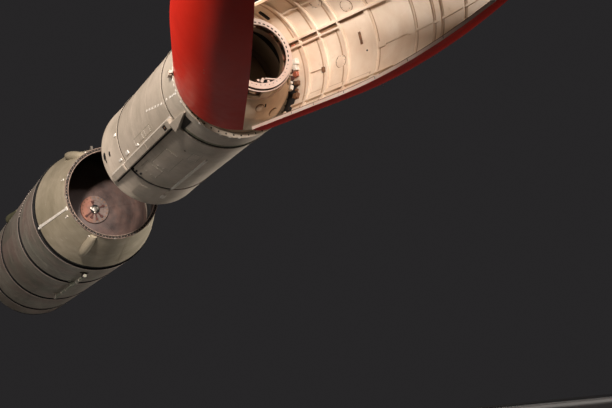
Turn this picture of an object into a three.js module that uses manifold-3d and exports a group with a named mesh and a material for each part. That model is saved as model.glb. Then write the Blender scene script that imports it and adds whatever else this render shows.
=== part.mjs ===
// A small three-stage satellite launcher of the 1970s, shown as a museum hangs it: lying level, nose
// towards +X, the two lower stages drawn apart and the payload fairing open in two halves.
// Millimetres, +Z up. Stations are distances along the rocket's axis, counted from the second
// stage's front rim, and azimuths are turned about that axis from +Y (port) towards +Z (up).
import * as THREE from "three";
import { mergeVertices } from "three/addons/utils/BufferGeometryUtils.js";
import Module from "manifold-3d";

const wasm = await Module();
wasm.setup();

// Driving dimensions
const SEAT = 0.3;
const SKIN = 10;
const FINE = 32;
const COARSE = 12;
const DROP_SIDES = 14;

const S2_FRONT = 0;
const S2_FRAME_2 = -412;
const S2_FRAME_1 = -2244;
const S2_AFT = -2981;
const S2_RADIUS = 690;
const S2_AFT_RADIUS = 720;
const S2_FRAME_1_RADIUS = 700;
const S2_RIM_DEPTH = 24;
const S2_RIM_OUTER = 696;
const S2_RIM_WALL = 90;
const FRAME_WIDTH = 32;
const FRAME_RISE = 9;
const FRAME_DEPTH = 70;

const S1_RIM = -5181;
const S1_SHOULDER = -6343;
const S1_BAND_2 = -7681;
const S1_BAND_3 = -9551;
const S1_BAND_4 = -10950;
const S1_AFT = -11650;
const S1_NOZZLE_EXIT = -12081;
const S1_RADIUS = 1000;
const S1_RIM_RADIUS = 725;
const BAND_WIDTH = 90;
const BAND_DEPTH = 20;
const BAND_WALL = 60;
const TANK_LIP = 40;
const S1_BAY_SKIN = 12;
const S1_RIM_DEPTH = 40;
const S1_RIM_BORE = 680;
const S1_RIM_OUTER = 737;
const DOME_SETBACK = 280;
const DOME_HEIGHT = 262;
const SKIRT_WALL = 15;
const PIVOT_PLAY = 0.6;
const S1_AFT_RING = 30;
const S1_AFT_RING_OUTER = 1006;
const S1_AFT_RING_WALL = 46;
const S1_PIVOT = -11202;
const PAIR_RADIUS = 620;

const DUCT_AZIMUTH = 214;
const S2_STRIP_AZIMUTH = 266;
const INSIDE = 600; // a radius within every skin, from which a fitting is cut back to its seat
const S1_STRIP_AZIMUTH = 199;

const GALLERY_BASE = 500;
const GALLERY_TOP = 672;
const GALLERY_BASE_RADIUS = 425;
const GALLERY_TOP_RADIUS = 400;
const GALLERY_WALL = 16;
const GALLERY_FLANGE = 12;
const RING_STATION = 706;
const RING_OUTER = 385;
const RING_INNER = 323;
const RING_FACE = 16;
const RING_NECK_INNER = 355;
const RING_NECK_OUTER = 373;

const FAIRING_RADIUS = 685;
const FAIRING_STRAIGHT = 1200;
const OGIVE_ARC = 6300;
const NOSE_START = 3250;
const FAIRING_BASE = 8;
const HALF_GAP = 3;
const BEYOND = 1500; // further than any part of a half reaches from the axis
const RIB_DEPTH = 34;
const FLANGE_DEPTH = 32;
const FLANGE_WIDTH = 14;
const HINGE_RADIUS = FAIRING_RADIUS + 40;
const HINGE_PIN = 6;
const KNUCKLE_RADIUS = 14;
const KNUCKLE_LENGTH = 30;
const EAR_GAP = 20.5;
const EAR_THICKNESS = 9;

const HOIST_TOP = 1085;
const OPEN_LEFT = THREE.MathUtils.degToRad(20.8);
const OPEN_RIGHT = THREE.MathUtils.degToRad(19.4);

// Finishes
function finish(color, roughness, metalness) {
  return new THREE.MeshStandardMaterial({ color, roughness, metalness });
}
const FINISH = {
  cream: finish(0xb9b49c, 0.5, 0.1),
  band: finish(0x24221f, 0.6, 0.4),
  alloy: finish(0x8d8f7c, 0.4, 0.7),
  dome: finish(0x8a6a60, 0.5, 0.4),
  red: finish(0xb3160c, 0.25, 0.1),
  inside: finish(0xe6d3b0, 0.5, 0.1),
  steel: finish(0xa9a49a, 0.35, 0.9),
  dark: finish(0x2b2927, 0.5, 0.5),
  nozzle: finish(0x9a8b78, 0.35, 0.9),
};

// Solids: every shape is joined and cut as a closed body
function solid(geometry) {
  const bare = geometry.clone();
  bare.deleteAttribute("normal");
  bare.deleteAttribute("uv");
  const merged = mergeVertices(bare, 1e-3);
  const kept = [];
  const index = merged.index.array;
  for (let i = 0; i < index.length; i += 3) {
    const [a, b, c] = index.slice(i, i + 3);
    if (a !== b && b !== c && c !== a) kept.push(a, b, c);
  }
  const make = () =>
    new wasm.Manifold(
      new wasm.Mesh({
        numProp: 3,
        vertProperties: new Float32Array(merged.attributes.position.array),
        triVerts: new Uint32Array(kept),
      }),
    );
  const made = make();
  if (made.volume() > 0) return made;
  for (let i = 0; i < kept.length; i += 3) {
    [kept[i + 1], kept[i + 2]] = [kept[i + 2], kept[i + 1]];
  }
  return make();
}

function joined(...pieces) {
  return pieces.flat().reduce((whole, piece) => whole.add(piece));
}

function cut(body, ...tools) {
  return tools.flat().reduce((left, tool) => left.subtract(tool), body);
}

// [station, radius] points turned about the rocket's axis; a hollow profile closes on itself
function turned(profile, segments = FINE) {
  const points = profile.map(([station, radius]) => new THREE.Vector2(radius, station));
  return solid(new THREE.LatheGeometry(points, segments).rotateZ(-Math.PI / 2));
}

// A tube wall between two stations, from an outer radius at each end
function wall(from, to, radiusFrom, radiusTo, thickness, segments = FINE) {
  return turned(
    [
      [from, radiusFrom - thickness],
      [to, radiusTo - thickness],
      [to, radiusTo],
      [from, radiusFrom],
      [from, radiusFrom - thickness],
    ],
    segments,
  );
}

// A plain disc or drum between two stations
function drum(from, to, radiusFrom, radiusTo = radiusFrom, segments = FINE) {
  return turned(
    [
      [from, 0],
      [from, radiusFrom],
      [to, radiusTo],
      [to, 0],
    ],
    segments,
  );
}

// A block that stands out from the axis at an azimuth in degrees
function block(azimuth, [from, to], [low, high], width, tangent = 0) {
  const box = new THREE.BoxGeometry(Math.abs(to - from), high - low, width);
  box.translate((from + to) / 2, (low + high) / 2, tangent);
  return solid(box.rotateX(THREE.MathUtils.degToRad(azimuth)));
}

// A round pin or rod: centre, direction and length
function rod(centre, direction, length, radius, segments = COARSE) {
  const cylinder = new THREE.CylinderGeometry(radius, radius, length, segments);
  const turn = new THREE.Quaternion().setFromUnitVectors(
    new THREE.Vector3(0, 1, 0),
    new THREE.Vector3(...direction).normalize(),
  );
  cylinder.applyQuaternion(turn);
  return solid(cylinder.translate(...centre));
}

function moved(body, x, y, z) {
  return body.translate([x, y, z]);
}

function rolled(body, azimuth) {
  return body.rotate([azimuth, 0, 0]);
}

// The point at a radius and azimuth
function around(station, radius, azimuth) {
  const turn = THREE.MathUtils.degToRad(azimuth);
  return [station, radius * Math.cos(turn), radius * Math.sin(turn)];
}

// Scene graph
const rocket = new THREE.Group();
const stations = new THREE.Group();
stations.position.set(-S1_SHOULDER, 0, -HOIST_TOP);
rocket.add(stations);

function place(name, body, material, group = stations) {
  const made = body.getMesh();
  const geometry = new THREE.BufferGeometry();
  const count = made.numProp;
  const positions = new Float32Array(made.numVert * 3);
  for (let i = 0; i < made.numVert; i += 1) {
    positions.set(made.vertProperties.subarray(i * count, i * count + 3), i * 3);
  }
  geometry.setAttribute("position", new THREE.BufferAttribute(positions, 3));
  geometry.setIndex(new THREE.BufferAttribute(made.triVerts, 1));
  geometry.computeVertexNormals();
  const mesh = new THREE.Mesh(geometry, material);
  mesh.name = name;
  group.add(mesh);
}

// Outer radius of each stage's skin at a station
function firstSkin(station) {
  if (station < S1_SHOULDER) return S1_RADIUS;
  const share = (station - S1_SHOULDER) / (S1_RIM - S1_SHOULDER);
  return S1_RADIUS + share * (S1_RIM_RADIUS - S1_RADIUS);
}

function secondSkin(station) {
  if (station > S2_FRAME_1) {
    const share = (station - S2_FRAME_2) / (S2_FRAME_1 - S2_FRAME_2);
    return S2_RADIUS + share * (S2_FRAME_1_RADIUS - S2_RADIUS);
  }
  const share = (station - S2_FRAME_1) / (S2_AFT - S2_FRAME_1);
  return S2_FRAME_1_RADIUS + share * (S2_AFT_RADIUS - S2_FRAME_1_RADIUS);
}

// First stage: forward bay, tanks and engine bay
function firstStageShell() {
  const half = BAND_WIDTH / 2;
  const taperFront = S1_RIM - S1_RIM_DEPTH;
  const taperBack = S1_SHOULDER + half;
  place(
    "first_stage_forward_bay",
    wall(taperBack, taperFront, firstSkin(taperBack), firstSkin(taperFront), S1_BAY_SKIN),
    FINISH.cream,
  );
  const lipBack = S1_RIM - 18;
  const rim = turned([
    [taperFront + SEAT, S1_RIM_BORE],
    [S1_RIM, S1_RIM_BORE],
    [S1_RIM, S1_RIM_OUTER],
    [lipBack, S1_RIM_OUTER],
    [lipBack, S1_RIM_RADIUS + 2],
    [taperFront + SEAT, S1_RIM_RADIUS + 8],
    [taperFront + SEAT, S1_RIM_BORE],
  ]);
  place("first_stage_front_rim", rim, FINISH.steel);

  // name, station of the recessed joint ring
  const bands = [
    ["shoulder_joint", S1_SHOULDER],
    ["tank_joint_forward", S1_BAND_2],
    ["tank_joint_middle", S1_BAND_3],
    ["tank_joint_aft", S1_BAND_4],
  ];
  const domeBase = S1_SHOULDER - DOME_SETBACK;
  for (const [name, station] of bands) {
    const from = station - half + SEAT;
    const to = station + half - SEAT;
    const open = station === S1_SHOULDER || station === S1_BAND_4;
    const outer = S1_RADIUS - BAND_DEPTH;
    const ring = open ? wall(from, to, outer, outer, BAND_WALL) : drum(from, to, outer);
    place("first_stage_" + name, ring, FINISH.band);
  }
  const tankFront = S1_SHOULDER - half;
  const forward = turned([
    [S1_BAND_2 + half, 0],
    [S1_BAND_2 + half, S1_RADIUS],
    [tankFront, S1_RADIUS],
    [tankFront, S1_RADIUS - TANK_LIP],
    [domeBase, S1_RADIUS - TANK_LIP],
    [domeBase, 0],
  ]);
  place("first_stage_tank_forward", forward, FINISH.alloy);
  place("first_stage_tank_middle", drum(S1_BAND_3 + half, S1_BAND_2 - half, S1_RADIUS), FINISH.alloy);
  place("first_stage_tank_aft", drum(S1_BAND_4 + half, S1_BAND_3 - half, S1_RADIUS), FINISH.alloy);

  const domeEdge = S1_RADIUS - TANK_LIP - 1;
  const outline = [[domeBase + SEAT, 0]];
  const domeSteps = 6;
  for (let i = 0; i <= domeSteps; i += 1) {
    const lean = (i / domeSteps) * (Math.PI / 2);
    outline.push([domeBase + SEAT + DOME_HEIGHT * Math.sin(lean), domeEdge * Math.cos(lean)]);
  }
  outline[outline.length - 1][1] = 0;
  place("first_stage_front_dome", turned(outline), FINISH.dome);
  const crown = domeBase + SEAT + DOME_HEIGHT;
  const coverTop = crown + 30;
  const legReach = 170;
  const legWidth = 44;
  const cover = drum(crown + SEAT, coverTop, 235, 225, 40);
  const hub = drum(coverTop - 2, coverTop + 32, 90, 80, COARSE);
  const legs = [15, 75, 135].map((azimuth) =>
    rolled(block(0, [coverTop - 2, coverTop + 22], [-legReach, legReach], legWidth), azimuth),
  );
  place("first_stage_dome_boss", joined(cover, hub, legs), FINISH.dome);

  place(
    "first_stage_engine_skirt",
    wall(S1_AFT, S1_BAND_4 - half, S1_RADIUS, S1_RADIUS, SKIRT_WALL),
    FINISH.alloy,
  );
  const ringOuter = S1_AFT_RING_OUTER;
  const aftRing = wall(S1_AFT - S1_AFT_RING, S1_AFT - SEAT, ringOuter, ringOuter, S1_AFT_RING_WALL);
  place("first_stage_aft_ring", aftRing, FINISH.band);
}

// A drop-shaped cover that trails towards the tail from a point at a station and radius.
// Its outline lists distance behind that point and radius; its axis leans outward by an angle.
function drop(outline, station, radius, lean, azimuth) {
  const points = outline.map(([distance, reach]) => new THREE.Vector2(reach, -distance));
  const body = new THREE.LatheGeometry(points, DROP_SIDES).rotateZ(-Math.PI / 2);
  return rolled(solid(body.rotateZ(-lean).translate(station, radius, 0)), azimuth);
}

// First stage: what stands on its skin
function firstStageFittings() {
  // name, azimuth
  const blisters = [
    ["top_right", 125.5],
    ["lower_right", 245.5],
    ["left", 5.5],
  ];
  // distance behind the rim, radius: broad at the rim and blunt at the tail
  const blisterOutline = [
    [0, 0],
    [0, 56],
    [150, 64],
    [400, 74],
    [590, 74],
    [645, 58],
    [665, 0],
  ];
  const blisterSink = 8;
  const rimGap = 4;
  const front = S1_RIM - S1_RIM_DEPTH - rimGap;
  const taper = Math.atan2(S1_RADIUS - S1_RIM_RADIUS, S1_RIM - S1_SHOULDER);
  const rise = THREE.MathUtils.degToRad(5);
  const bay = drum(S1_SHOULDER, S1_RIM, S1_RADIUS + SEAT, S1_RIM_RADIUS + SEAT);
  const ahead = drum(front, S1_RIM, 2 * S1_RADIUS);
  for (const [name, azimuth] of blisters) {
    const body = drop(blisterOutline, front, firstSkin(front) - blisterSink, taper + rise, azimuth);
    place("blister_" + name, cut(body, bay, ahead), FINISH.cream);
  }

  const stripBack = S1_SHOULDER + BAND_WIDTH + 10;
  const stripHeight = 16;
  const stripWidth = 46;
  const [stripLow, stripHigh] = [700, 1040];
  const [tallBack, tallFront] = [stripBack, front].map((station) => firstSkin(station) + stripHeight);
  const strip = block(S1_STRIP_AZIMUTH, [stripBack, front], [stripLow, stripHigh], stripWidth).intersect(
    wall(stripBack, front, tallBack, tallFront, stripHeight - SEAT),
  );
  place("first_stage_strip", strip, FINISH.cream);

  const barrel = drum(S1_BAND_4, S1_SHOULDER, S1_RADIUS + SEAT);
  const pipeAzimuth = 262;
  const pipeCentre = 1065;
  const pipeRadius = 25;
  const [pipeBack, pipeFront] = [-9020, -6600];
  const middle = around((pipeBack + pipeFront) / 2, pipeCentre, pipeAzimuth);
  const pipe = rod(middle, [1, 0, 0], pipeFront - pipeBack, pipeRadius);
  const saddleWidth = 70;
  const saddles = [-8900, -7590, -6700].map((station) => {
    const along = [station - saddleWidth / 2, station + saddleWidth / 2];
    return block(pipeAzimuth, along, [900, pipeCentre + pipeRadius + 5], saddleWidth);
  });
  place("first_stage_external_pipe", cut(joined(pipe, saddles), barrel), FINISH.steel);

  // distance behind the cover's point, radius
  const coverOutline = [
    [0, 0],
    [0, 16],
    [300, 46],
    [600, 82],
    [740, 90],
    [785, 70],
    [800, 0],
  ];
  const coverPoint = -8550;
  const coverAzimuth = 150;
  const coverSink = 6;
  const cover = drop(coverOutline, coverPoint, S1_RADIUS - coverSink, 0, coverAzimuth);
  place("first_stage_side_cover", cut(cover, barrel), FINISH.cream);

  // Hoisting lug over the shoulder joint: a plate bent to the skin, and an ear with an eye
  const up = 90;
  const lugFront = S1_SHOULDER + 20;
  const [plateLength, plateWidth, plateRise] = [150, 170, 12];
  const [earLength, earThickness] = [75, 36];
  const [eyeBack, eyeDrop, eyeRadius] = [38, 36, 16];
  const lugPlate = block(up, [lugFront - plateLength, lugFront], [900, S1_RADIUS + plateRise], plateWidth);
  const ear = block(up, [lugFront - earLength, lugFront], [S1_RADIUS, HOIST_TOP], earThickness);
  const eye = rod([lugFront - eyeBack, 0, HOIST_TOP - eyeDrop], [0, 1, 0], 60, eyeRadius);
  const ahead60 = S1_SHOULDER + 60;
  const seat = joined(
    drum(S1_SHOULDER - 200, S1_SHOULDER + SEAT, S1_RADIUS + SEAT),
    drum(S1_SHOULDER, ahead60, S1_RADIUS + SEAT, firstSkin(ahead60) + SEAT),
  );
  place("first_stage_hoist_lug", cut(joined(lugPlate, ear), eye, seat), FINISH.steel);
}

// A rocket chamber with its bell, opening towards the tail; its head is at the pivot's station
function chamber(head, throatStation, exitStation, chamberRadius, throat, exit, segments) {
  const bell = exitStation - throatStation;
  const at = (share) => throatStation + share * bell;
  const flare = (share) => throat + share * (exit - throat);
  const lip = 6;
  return turned(
    [
      [head, 0],
      [head, chamberRadius * 0.7],
      [head - 30, chamberRadius],
      [throatStation + 70, chamberRadius],
      [throatStation, throat],
      [at(0.2), flare(0.38)],
      [at(0.55), flare(0.76)],
      [exitStation, exit],
      [exitStation, exit - lip],
      [at(0.55), flare(0.76) - lip],
      [at(0.2), flare(0.38) - lip],
      [throatStation, throat - lip],
      [throatStation, 0],
    ],
    segments,
  );
}

// First stage engine: four pairs of chambers, each swung about a radial pin
function firstStageEngine() {
  const plateBack = S1_PIVOT + 170;
  const plate = drum(plateBack, S1_BAND_4 - BAND_WIDTH / 2 - SEAT, S1_RADIUS - SKIRT_WALL - SEAT);
  place("first_stage_thrust_plate", plate, FINISH.band);
  const pumpBack = plateBack - 520;
  const casingBack = plateBack - 330;
  const pump = joined(
    drum(casingBack, plateBack - SEAT, 210, 260, FINE),
    drum(pumpBack, casingBack + 10, 150, 150, FINE),
  );
  place("first_stage_turbopump", pump, FINISH.steel);

  const pinRadius = 16;
  const pinLength = 236;
  const earWidth = 110;
  const earThickness = 30;
  const [earInner, earOuter] = [505, 715];
  const footThickness = 26;
  const beamHalf = [34, 60];
  const spread = 240;
  const throat = S1_NOZZLE_EXIT + 470;
  for (let i = 0; i < 4; i += 1) {
    const azimuth = i * 90;
    const ears = [earInner, earOuter].map((inner) =>
      block(0, [S1_PIVOT - 45, plateBack - SEAT], [inner, inner + earThickness], earWidth),
    );
    const foot = block(0, [plateBack - footThickness, plateBack - SEAT], [500, 750], earWidth);
    const bore = rod([S1_PIVOT, PAIR_RADIUS, 0], [0, 1, 0], 400, pinRadius + PIVOT_PLAY);
    const bracket = cut(joined(ears, foot), bore);
    place("gimbal_bracket_" + (i + 1), rolled(bracket, azimuth), FINISH.dark);

    const pin = rod([S1_PIVOT, PAIR_RADIUS + 5, 0], [0, 1, 0], pinLength, pinRadius);
    const beam = block(
      0,
      [S1_PIVOT - beamHalf[0], S1_PIVOT + beamHalf[0]],
      [PAIR_RADIUS - beamHalf[1], PAIR_RADIUS + beamHalf[1]],
      2 * spread + 60,
    );
    const bells = [-spread, spread].map((side) =>
      moved(chamber(S1_PIVOT + 60, throat, S1_NOZZLE_EXIT, 78, 40, 158, 16), 0, PAIR_RADIUS, side),
    );
    place("chamber_pair_" + (i + 1), rolled(joined(beam, pin, bells), azimuth), FINISH.nozzle);
  }
}

// Second stage: skins, frames and what stands on them
function secondStageShell() {
  const half = FRAME_WIDTH / 2;
  const frames = [
    ["second_stage_frame_forward", S2_FRAME_2],
    ["second_stage_frame_aft", S2_FRAME_1],
  ];
  for (const [name, station] of frames) {
    const outer = secondSkin(station) + FRAME_RISE;
    place(name, wall(station - half + SEAT, station + half - SEAT, outer, outer, FRAME_DEPTH), FINISH.cream);
  }
  const tank = drum(S2_FRAME_1 + half, S2_FRAME_2 - half, secondSkin(S2_FRAME_1), secondSkin(S2_FRAME_2));
  place("second_stage_tank", tank, FINISH.cream);
  place(
    "second_stage_aft_skirt",
    wall(S2_AFT, S2_FRAME_1 - half, S2_AFT_RADIUS, secondSkin(S2_FRAME_1), SKIN),
    FINISH.cream,
  );
  place(
    "second_stage_front_skirt",
    wall(S2_FRAME_2 + half, S2_FRONT - S2_RIM_DEPTH, secondSkin(S2_FRAME_2), S2_RADIUS - 2, SKIN),
    FINISH.cream,
  );
  place(
    "second_stage_front_rim",
    wall(S2_FRONT - S2_RIM_DEPTH + SEAT, S2_FRONT, S2_RIM_OUTER, S2_RIM_OUTER, S2_RIM_WALL),
    FINISH.cream,
  );

  const clearFrames = joined(
    frames.map(([, station]) => drum(station - half, station + half, secondSkin(station) + FRAME_RISE + SEAT)),
    drum(S2_AFT, S2_FRAME_1, S2_AFT_RADIUS + SEAT, S2_FRAME_1_RADIUS + SEAT),
    drum(S2_FRAME_1 - 1, S2_FRAME_2 + 1, S2_FRAME_1_RADIUS + SEAT, S2_RADIUS + SEAT),
    drum(S2_FRAME_2, S2_FRONT, S2_RADIUS + SEAT),
  );
  const [ductBack, ductFront, ductTop] = [-2850, -440, 752];
  const duct = block(DUCT_AZIMUTH, [ductBack, ductFront], [INSIDE, ductTop], 96);
  const port = block(DUCT_AZIMUTH, [-650, -560], [ductTop - 14, ductTop + 8], 52);
  place("second_stage_duct", cut(duct, clearFrames, port), FINISH.cream);
  const [wedgeBack, wedgeFront, wedgeWidth] = [-432, -60, 120];
  const wedgeShape = new THREE.Shape();
  wedgeShape.moveTo(wedgeBack, INSIDE);
  wedgeShape.lineTo(wedgeFront, INSIDE);
  wedgeShape.lineTo(wedgeFront, 712);
  wedgeShape.lineTo(wedgeBack, 766);
  const wedge = new THREE.ExtrudeGeometry(wedgeShape, { depth: wedgeWidth, bevelEnabled: false });
  wedge.translate(0, 0, -wedgeWidth / 2);
  place(
    "second_stage_duct_wedge",
    cut(rolled(solid(wedge), DUCT_AZIMUTH + 5), clearFrames),
    FINISH.cream,
  );
  const strip = joined(
    block(S2_STRIP_AZIMUTH, [-2490, -880], [INSIDE, 716], 34),
    block(S2_STRIP_AZIMUTH, [-2640, -2480], [INSIDE, 722], 60),
  );
  place("second_stage_strip", cut(strip, clearFrames), FINISH.cream);
}

// Second stage front: payload cone and rings
function payloadSupport() {
  const cone = turned([
    [SEAT, 636],
    [12, 636],
    [12, 622],
    [180, 598],
    [360, 522],
    [GALLERY_BASE, GALLERY_BASE_RADIUS],
    [GALLERY_BASE, GALLERY_BASE_RADIUS - GALLERY_WALL - 1],
    [352, 506],
    [174, 582],
    [SEAT, 606],
    [SEAT, 636],
  ]);
  place("payload_cone", cone, FINISH.inside);
  const windowCount = 8;
  const windows = Array.from({ length: windowCount }, (_, i) =>
    block((i * 360) / windowCount + 39, [555, 655], [370, 480], 166),
  );
  const gallery = turned([
    [GALLERY_BASE + SEAT, GALLERY_BASE_RADIUS - GALLERY_WALL],
    [GALLERY_TOP - GALLERY_FLANGE, GALLERY_TOP_RADIUS - GALLERY_WALL],
    [GALLERY_TOP - GALLERY_FLANGE, RING_NECK_INNER],
    [GALLERY_TOP, RING_NECK_INNER],
    [GALLERY_TOP, GALLERY_TOP_RADIUS],
    [GALLERY_BASE + SEAT, GALLERY_BASE_RADIUS],
    [GALLERY_BASE + SEAT, GALLERY_BASE_RADIUS - GALLERY_WALL],
  ]);
  place("payload_gallery", cut(gallery, windows), FINISH.inside);
  const ring = turned([
    [GALLERY_TOP + SEAT, RING_NECK_INNER],
    [RING_STATION - RING_FACE, RING_NECK_INNER],
    [RING_STATION - RING_FACE, RING_INNER],
    [RING_STATION, RING_INNER],
    [RING_STATION, RING_OUTER],
    [RING_STATION - RING_FACE, RING_OUTER],
    [RING_STATION - RING_FACE, RING_NECK_OUTER],
    [GALLERY_TOP + SEAT, RING_NECK_OUTER],
    [GALLERY_TOP + SEAT, RING_NECK_INNER],
  ]);
  place("payload_ring", ring, FINISH.inside);
  const tankFace = S2_FRAME_2 - FRAME_WIDTH / 2 + SEAT;
  const dome = turned([
    [tankFace, 0],
    [tankFace, 620],
    [tankFace + 60, 560],
    [tankFace + 140, 360],
    [tankFace + 170, 0],
  ]);
  place("second_stage_front_dome", dome, FINISH.inside);
}

// Second stage engine: two chambers, each in a ring that tilts one way while the chamber tilts the other
function secondStageEngine() {
  const bulkheadBack = S2_FRAME_1 - 60;
  place(
    "second_stage_thrust_dome",
    drum(bulkheadBack, S2_FRAME_1 + FRAME_WIDTH / 2 - SEAT, 560, 625),
    FINISH.alloy,
  );
  const pivot = -2500;
  const centre = 290;
  const pinRadius = 11;
  const earHeight = 158;
  const ears = [-centre, centre].flatMap((side) =>
    [-1, 1].map((turn) => {
      const box = new THREE.BoxGeometry(220, 56, 24);
      return solid(box.translate(pivot + 80, side, turn * earHeight));
    }),
  );
  const bores = [-centre, centre].map((side) => rod([pivot, side, 0], [0, 0, 1], 400, pinRadius + PIVOT_PLAY));
  const beam = 40;
  const back = solid(new THREE.BoxGeometry(beam, 720, 340).translate(bulkheadBack - beam / 2 - SEAT, 0, 0));
  place("second_stage_thrust_frame", cut(joined(back, ears), bores), FINISH.dark);

  // name, offset to port
  const engines = [
    ["left", centre],
    ["right", -centre],
  ];
  const ringRadius = 128;
  const throat = -2790;
  const exit = S2_AFT - 550;
  for (const [name, side] of engines) {
    const band = wall(pivot - 20, pivot + 20, ringRadius, ringRadius, 22, 24);
    const core = drum(pivot - 40, pivot + 40, 110, 110, COARSE);
    const pins = rod([pivot, 0, 0], [0, 0, 1], 336, pinRadius).subtract(core);
    const holes = rod([pivot, 0, 0], [0, 1, 0], 400, pinRadius + PIVOT_PLAY);
    place("gimbal_ring_" + name, moved(cut(joined(band, pins), holes), 0, side, 0), FINISH.dark);
    const bell = chamber(pivot + 70, throat, exit, 74, 36, 190, 24);
    const trunnion = rod([pivot, 0, 0], [0, 1, 0], 244, pinRadius);
    place("second_stage_chamber_" + name, moved(joined(bell, trunnion), 0, side, 0), FINISH.nozzle);
  }
}

// Fairing: the outer surface's radius at a station, straight and then an arc, drawn in by an inset
function fairingOutline(inset) {
  const points = [];
  const arcRadius = (station) =>
    FAIRING_RADIUS - (station - FAIRING_STRAIGHT) ** 2 / (2 * OGIVE_ARC);
  points.push([FAIRING_BASE, FAIRING_RADIUS - inset]);
  for (const station of [FAIRING_STRAIGHT, 1600, 2000, 2400, 2800, NOSE_START]) {
    points.push([station, arcRadius(station) - inset]);
  }
  const lean = Math.atan((NOSE_START - FAIRING_STRAIGHT) / OGIVE_ARC);
  const capRadius = arcRadius(NOSE_START) / Math.cos(lean);
  const capCentre = NOSE_START - capRadius * Math.sin(lean);
  const capSteps = 5;
  for (let i = 1; i <= capSteps; i += 1) {
    const turn = lean + (i / capSteps) * (Math.PI / 2 - lean);
    points.push([capCentre + (capRadius - inset) * Math.sin(turn), (capRadius - inset) * Math.cos(turn)]);
  }
  points[points.length - 1][1] = 0;
  return points;
}

function fairingBody(inset, from = FAIRING_BASE) {
  const outline = fairingOutline(inset);
  outline[0][0] = from;
  return turned([[from, 0], ...outline], FINE);
}

// One half of the fairing, drawn closed; side is +1 to port and -1 to starboard
function fairingHalf(name, side, open) {
  const halfSpace = (from, to = BEYOND) => {
    const box = new THREE.BoxGeometry(4 * BEYOND, to - from, 2 * BEYOND);
    return solid(box.translate(BEYOND, (side * (from + to)) / 2, 0));
  };
  const pivot = new THREE.Group();
  pivot.position.set(0, side * HINGE_RADIUS, 0);
  pivot.rotation.z = side * open;
  const closed = new THREE.Group();
  closed.position.set(0, -side * HINGE_RADIUS, 0);
  pivot.add(closed);
  stations.add(pivot);

  const shell = cut(fairingBody(0), fairingBody(SKIN, 0)).intersect(halfSpace(HALF_GAP));
  place("fairing_" + name + "_shell", shell, FINISH.red, closed);

  // hoop ribs: station, width
  const hoops = [
    [40, 40],
    [310, 16],
    [590, 16],
    [880, 16],
    [1260, 22],
    [1780, 22],
    [2150, 18],
    [2470, 18],
    [2850, 18],
  ];
  // longerons, two of them a close pair: azimuth from the half's middle, from, to, width
  const longerons = [
    [34, 80, 1560, 12],
    [28, 80, 880, 12],
    [-5, 80, 2850, 8],
    [-34, 80, 1560, 12],
  ];
  const inner = fairingBody(SKIN + SEAT);
  const liner = cut(inner, fairingBody(SKIN + RIB_DEPTH, 0));
  const rings = hoops.map(([station, width]) => drum(station - width / 2, station + width / 2, 720));
  const bars = longerons.map(([azimuth, from, to, width]) =>
    block(side > 0 ? azimuth : 180 - azimuth, [from - 40, to], [300, HINGE_RADIUS], width),
  );
  const ribs = joined(rings, bars).intersect(liner).intersect(halfSpace(HALF_GAP + FLANGE_WIDTH));
  place("fairing_" + name + "_ribs", ribs, FINISH.inside, closed);

  const edge = halfSpace(HALF_GAP, HALF_GAP + FLANGE_WIDTH - SEAT);
  const flange = cut(inner, fairingBody(SKIN + FLANGE_DEPTH, 0)).intersect(edge);
  place("fairing_" + name + "_flange", flange, FINISH.inside, closed);

  // A strap on the skin and a knuckle turn about an upright pin that two ears hold on the rim
  const middle = side > 0 ? 0 : 180;
  const upright = (length, radius) => rod([0, side * HINGE_RADIUS, 0], [0, 0, 1], length, radius);
  const strap = block(middle, [24, 110], [600, FAIRING_RADIUS + 10], 44);
  const link = block(middle, [6, 40], [600, HINGE_RADIUS + 6], KNUCKLE_LENGTH);
  const knuckle = upright(KNUCKLE_LENGTH, KNUCKLE_RADIUS);
  const bore = upright(2 * KNUCKLE_LENGTH, HINGE_PIN + PIVOT_PLAY);
  const hinge = cut(joined(strap, link, knuckle), bore, fairingBody(-SEAT, -100));
  place("fairing_" + name + "_hinge", hinge, FINISH.steel, closed);

  const postWidth = 2 * (EAR_GAP + EAR_THICKNESS);
  const ears = [-1, 1].map((turn) => {
    const ear = new THREE.BoxGeometry(48, 32, EAR_THICKNESS);
    return solid(ear.translate(-10, side * HINGE_RADIUS, turn * (EAR_GAP + EAR_THICKNESS / 2)));
  });
  const foot = block(middle, [-70, -20], [600, HINGE_RADIUS + 12], postWidth);
  const seat = joined(
    drum(-S2_RIM_DEPTH, 1, S2_RADIUS + 6 + SEAT),
    drum(S2_FRAME_2, -S2_RIM_DEPTH, S2_RADIUS + SEAT, S2_RADIUS - 2 + SEAT),
  );
  const pin = upright(postWidth, HINGE_PIN);
  place("hinge_post_" + name, cut(joined(ears, foot), seat).add(pin), FINISH.steel);
}

firstStageShell();
firstStageFittings();
firstStageEngine();
secondStageShell();
payloadSupport();
secondStageEngine();
fairingHalf("left", 1, OPEN_LEFT);
fairingHalf("right", -1, OPEN_RIGHT);

export default rocket;
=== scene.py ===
"""Looks of a small three-stage satellite launch rocket that hangs level in sections.

Lengths are metres. A place on the rocket is a station along its axis, counted from the second
stage's front rim, a radius, and an azimuth in degrees about the axis from port (+Y) towards up (+Z).
A face's mark is the number of its finish among those of its piece.
"""
import math
import random

import bmesh
import bpy
from mathutils import Matrix, Vector


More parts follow.
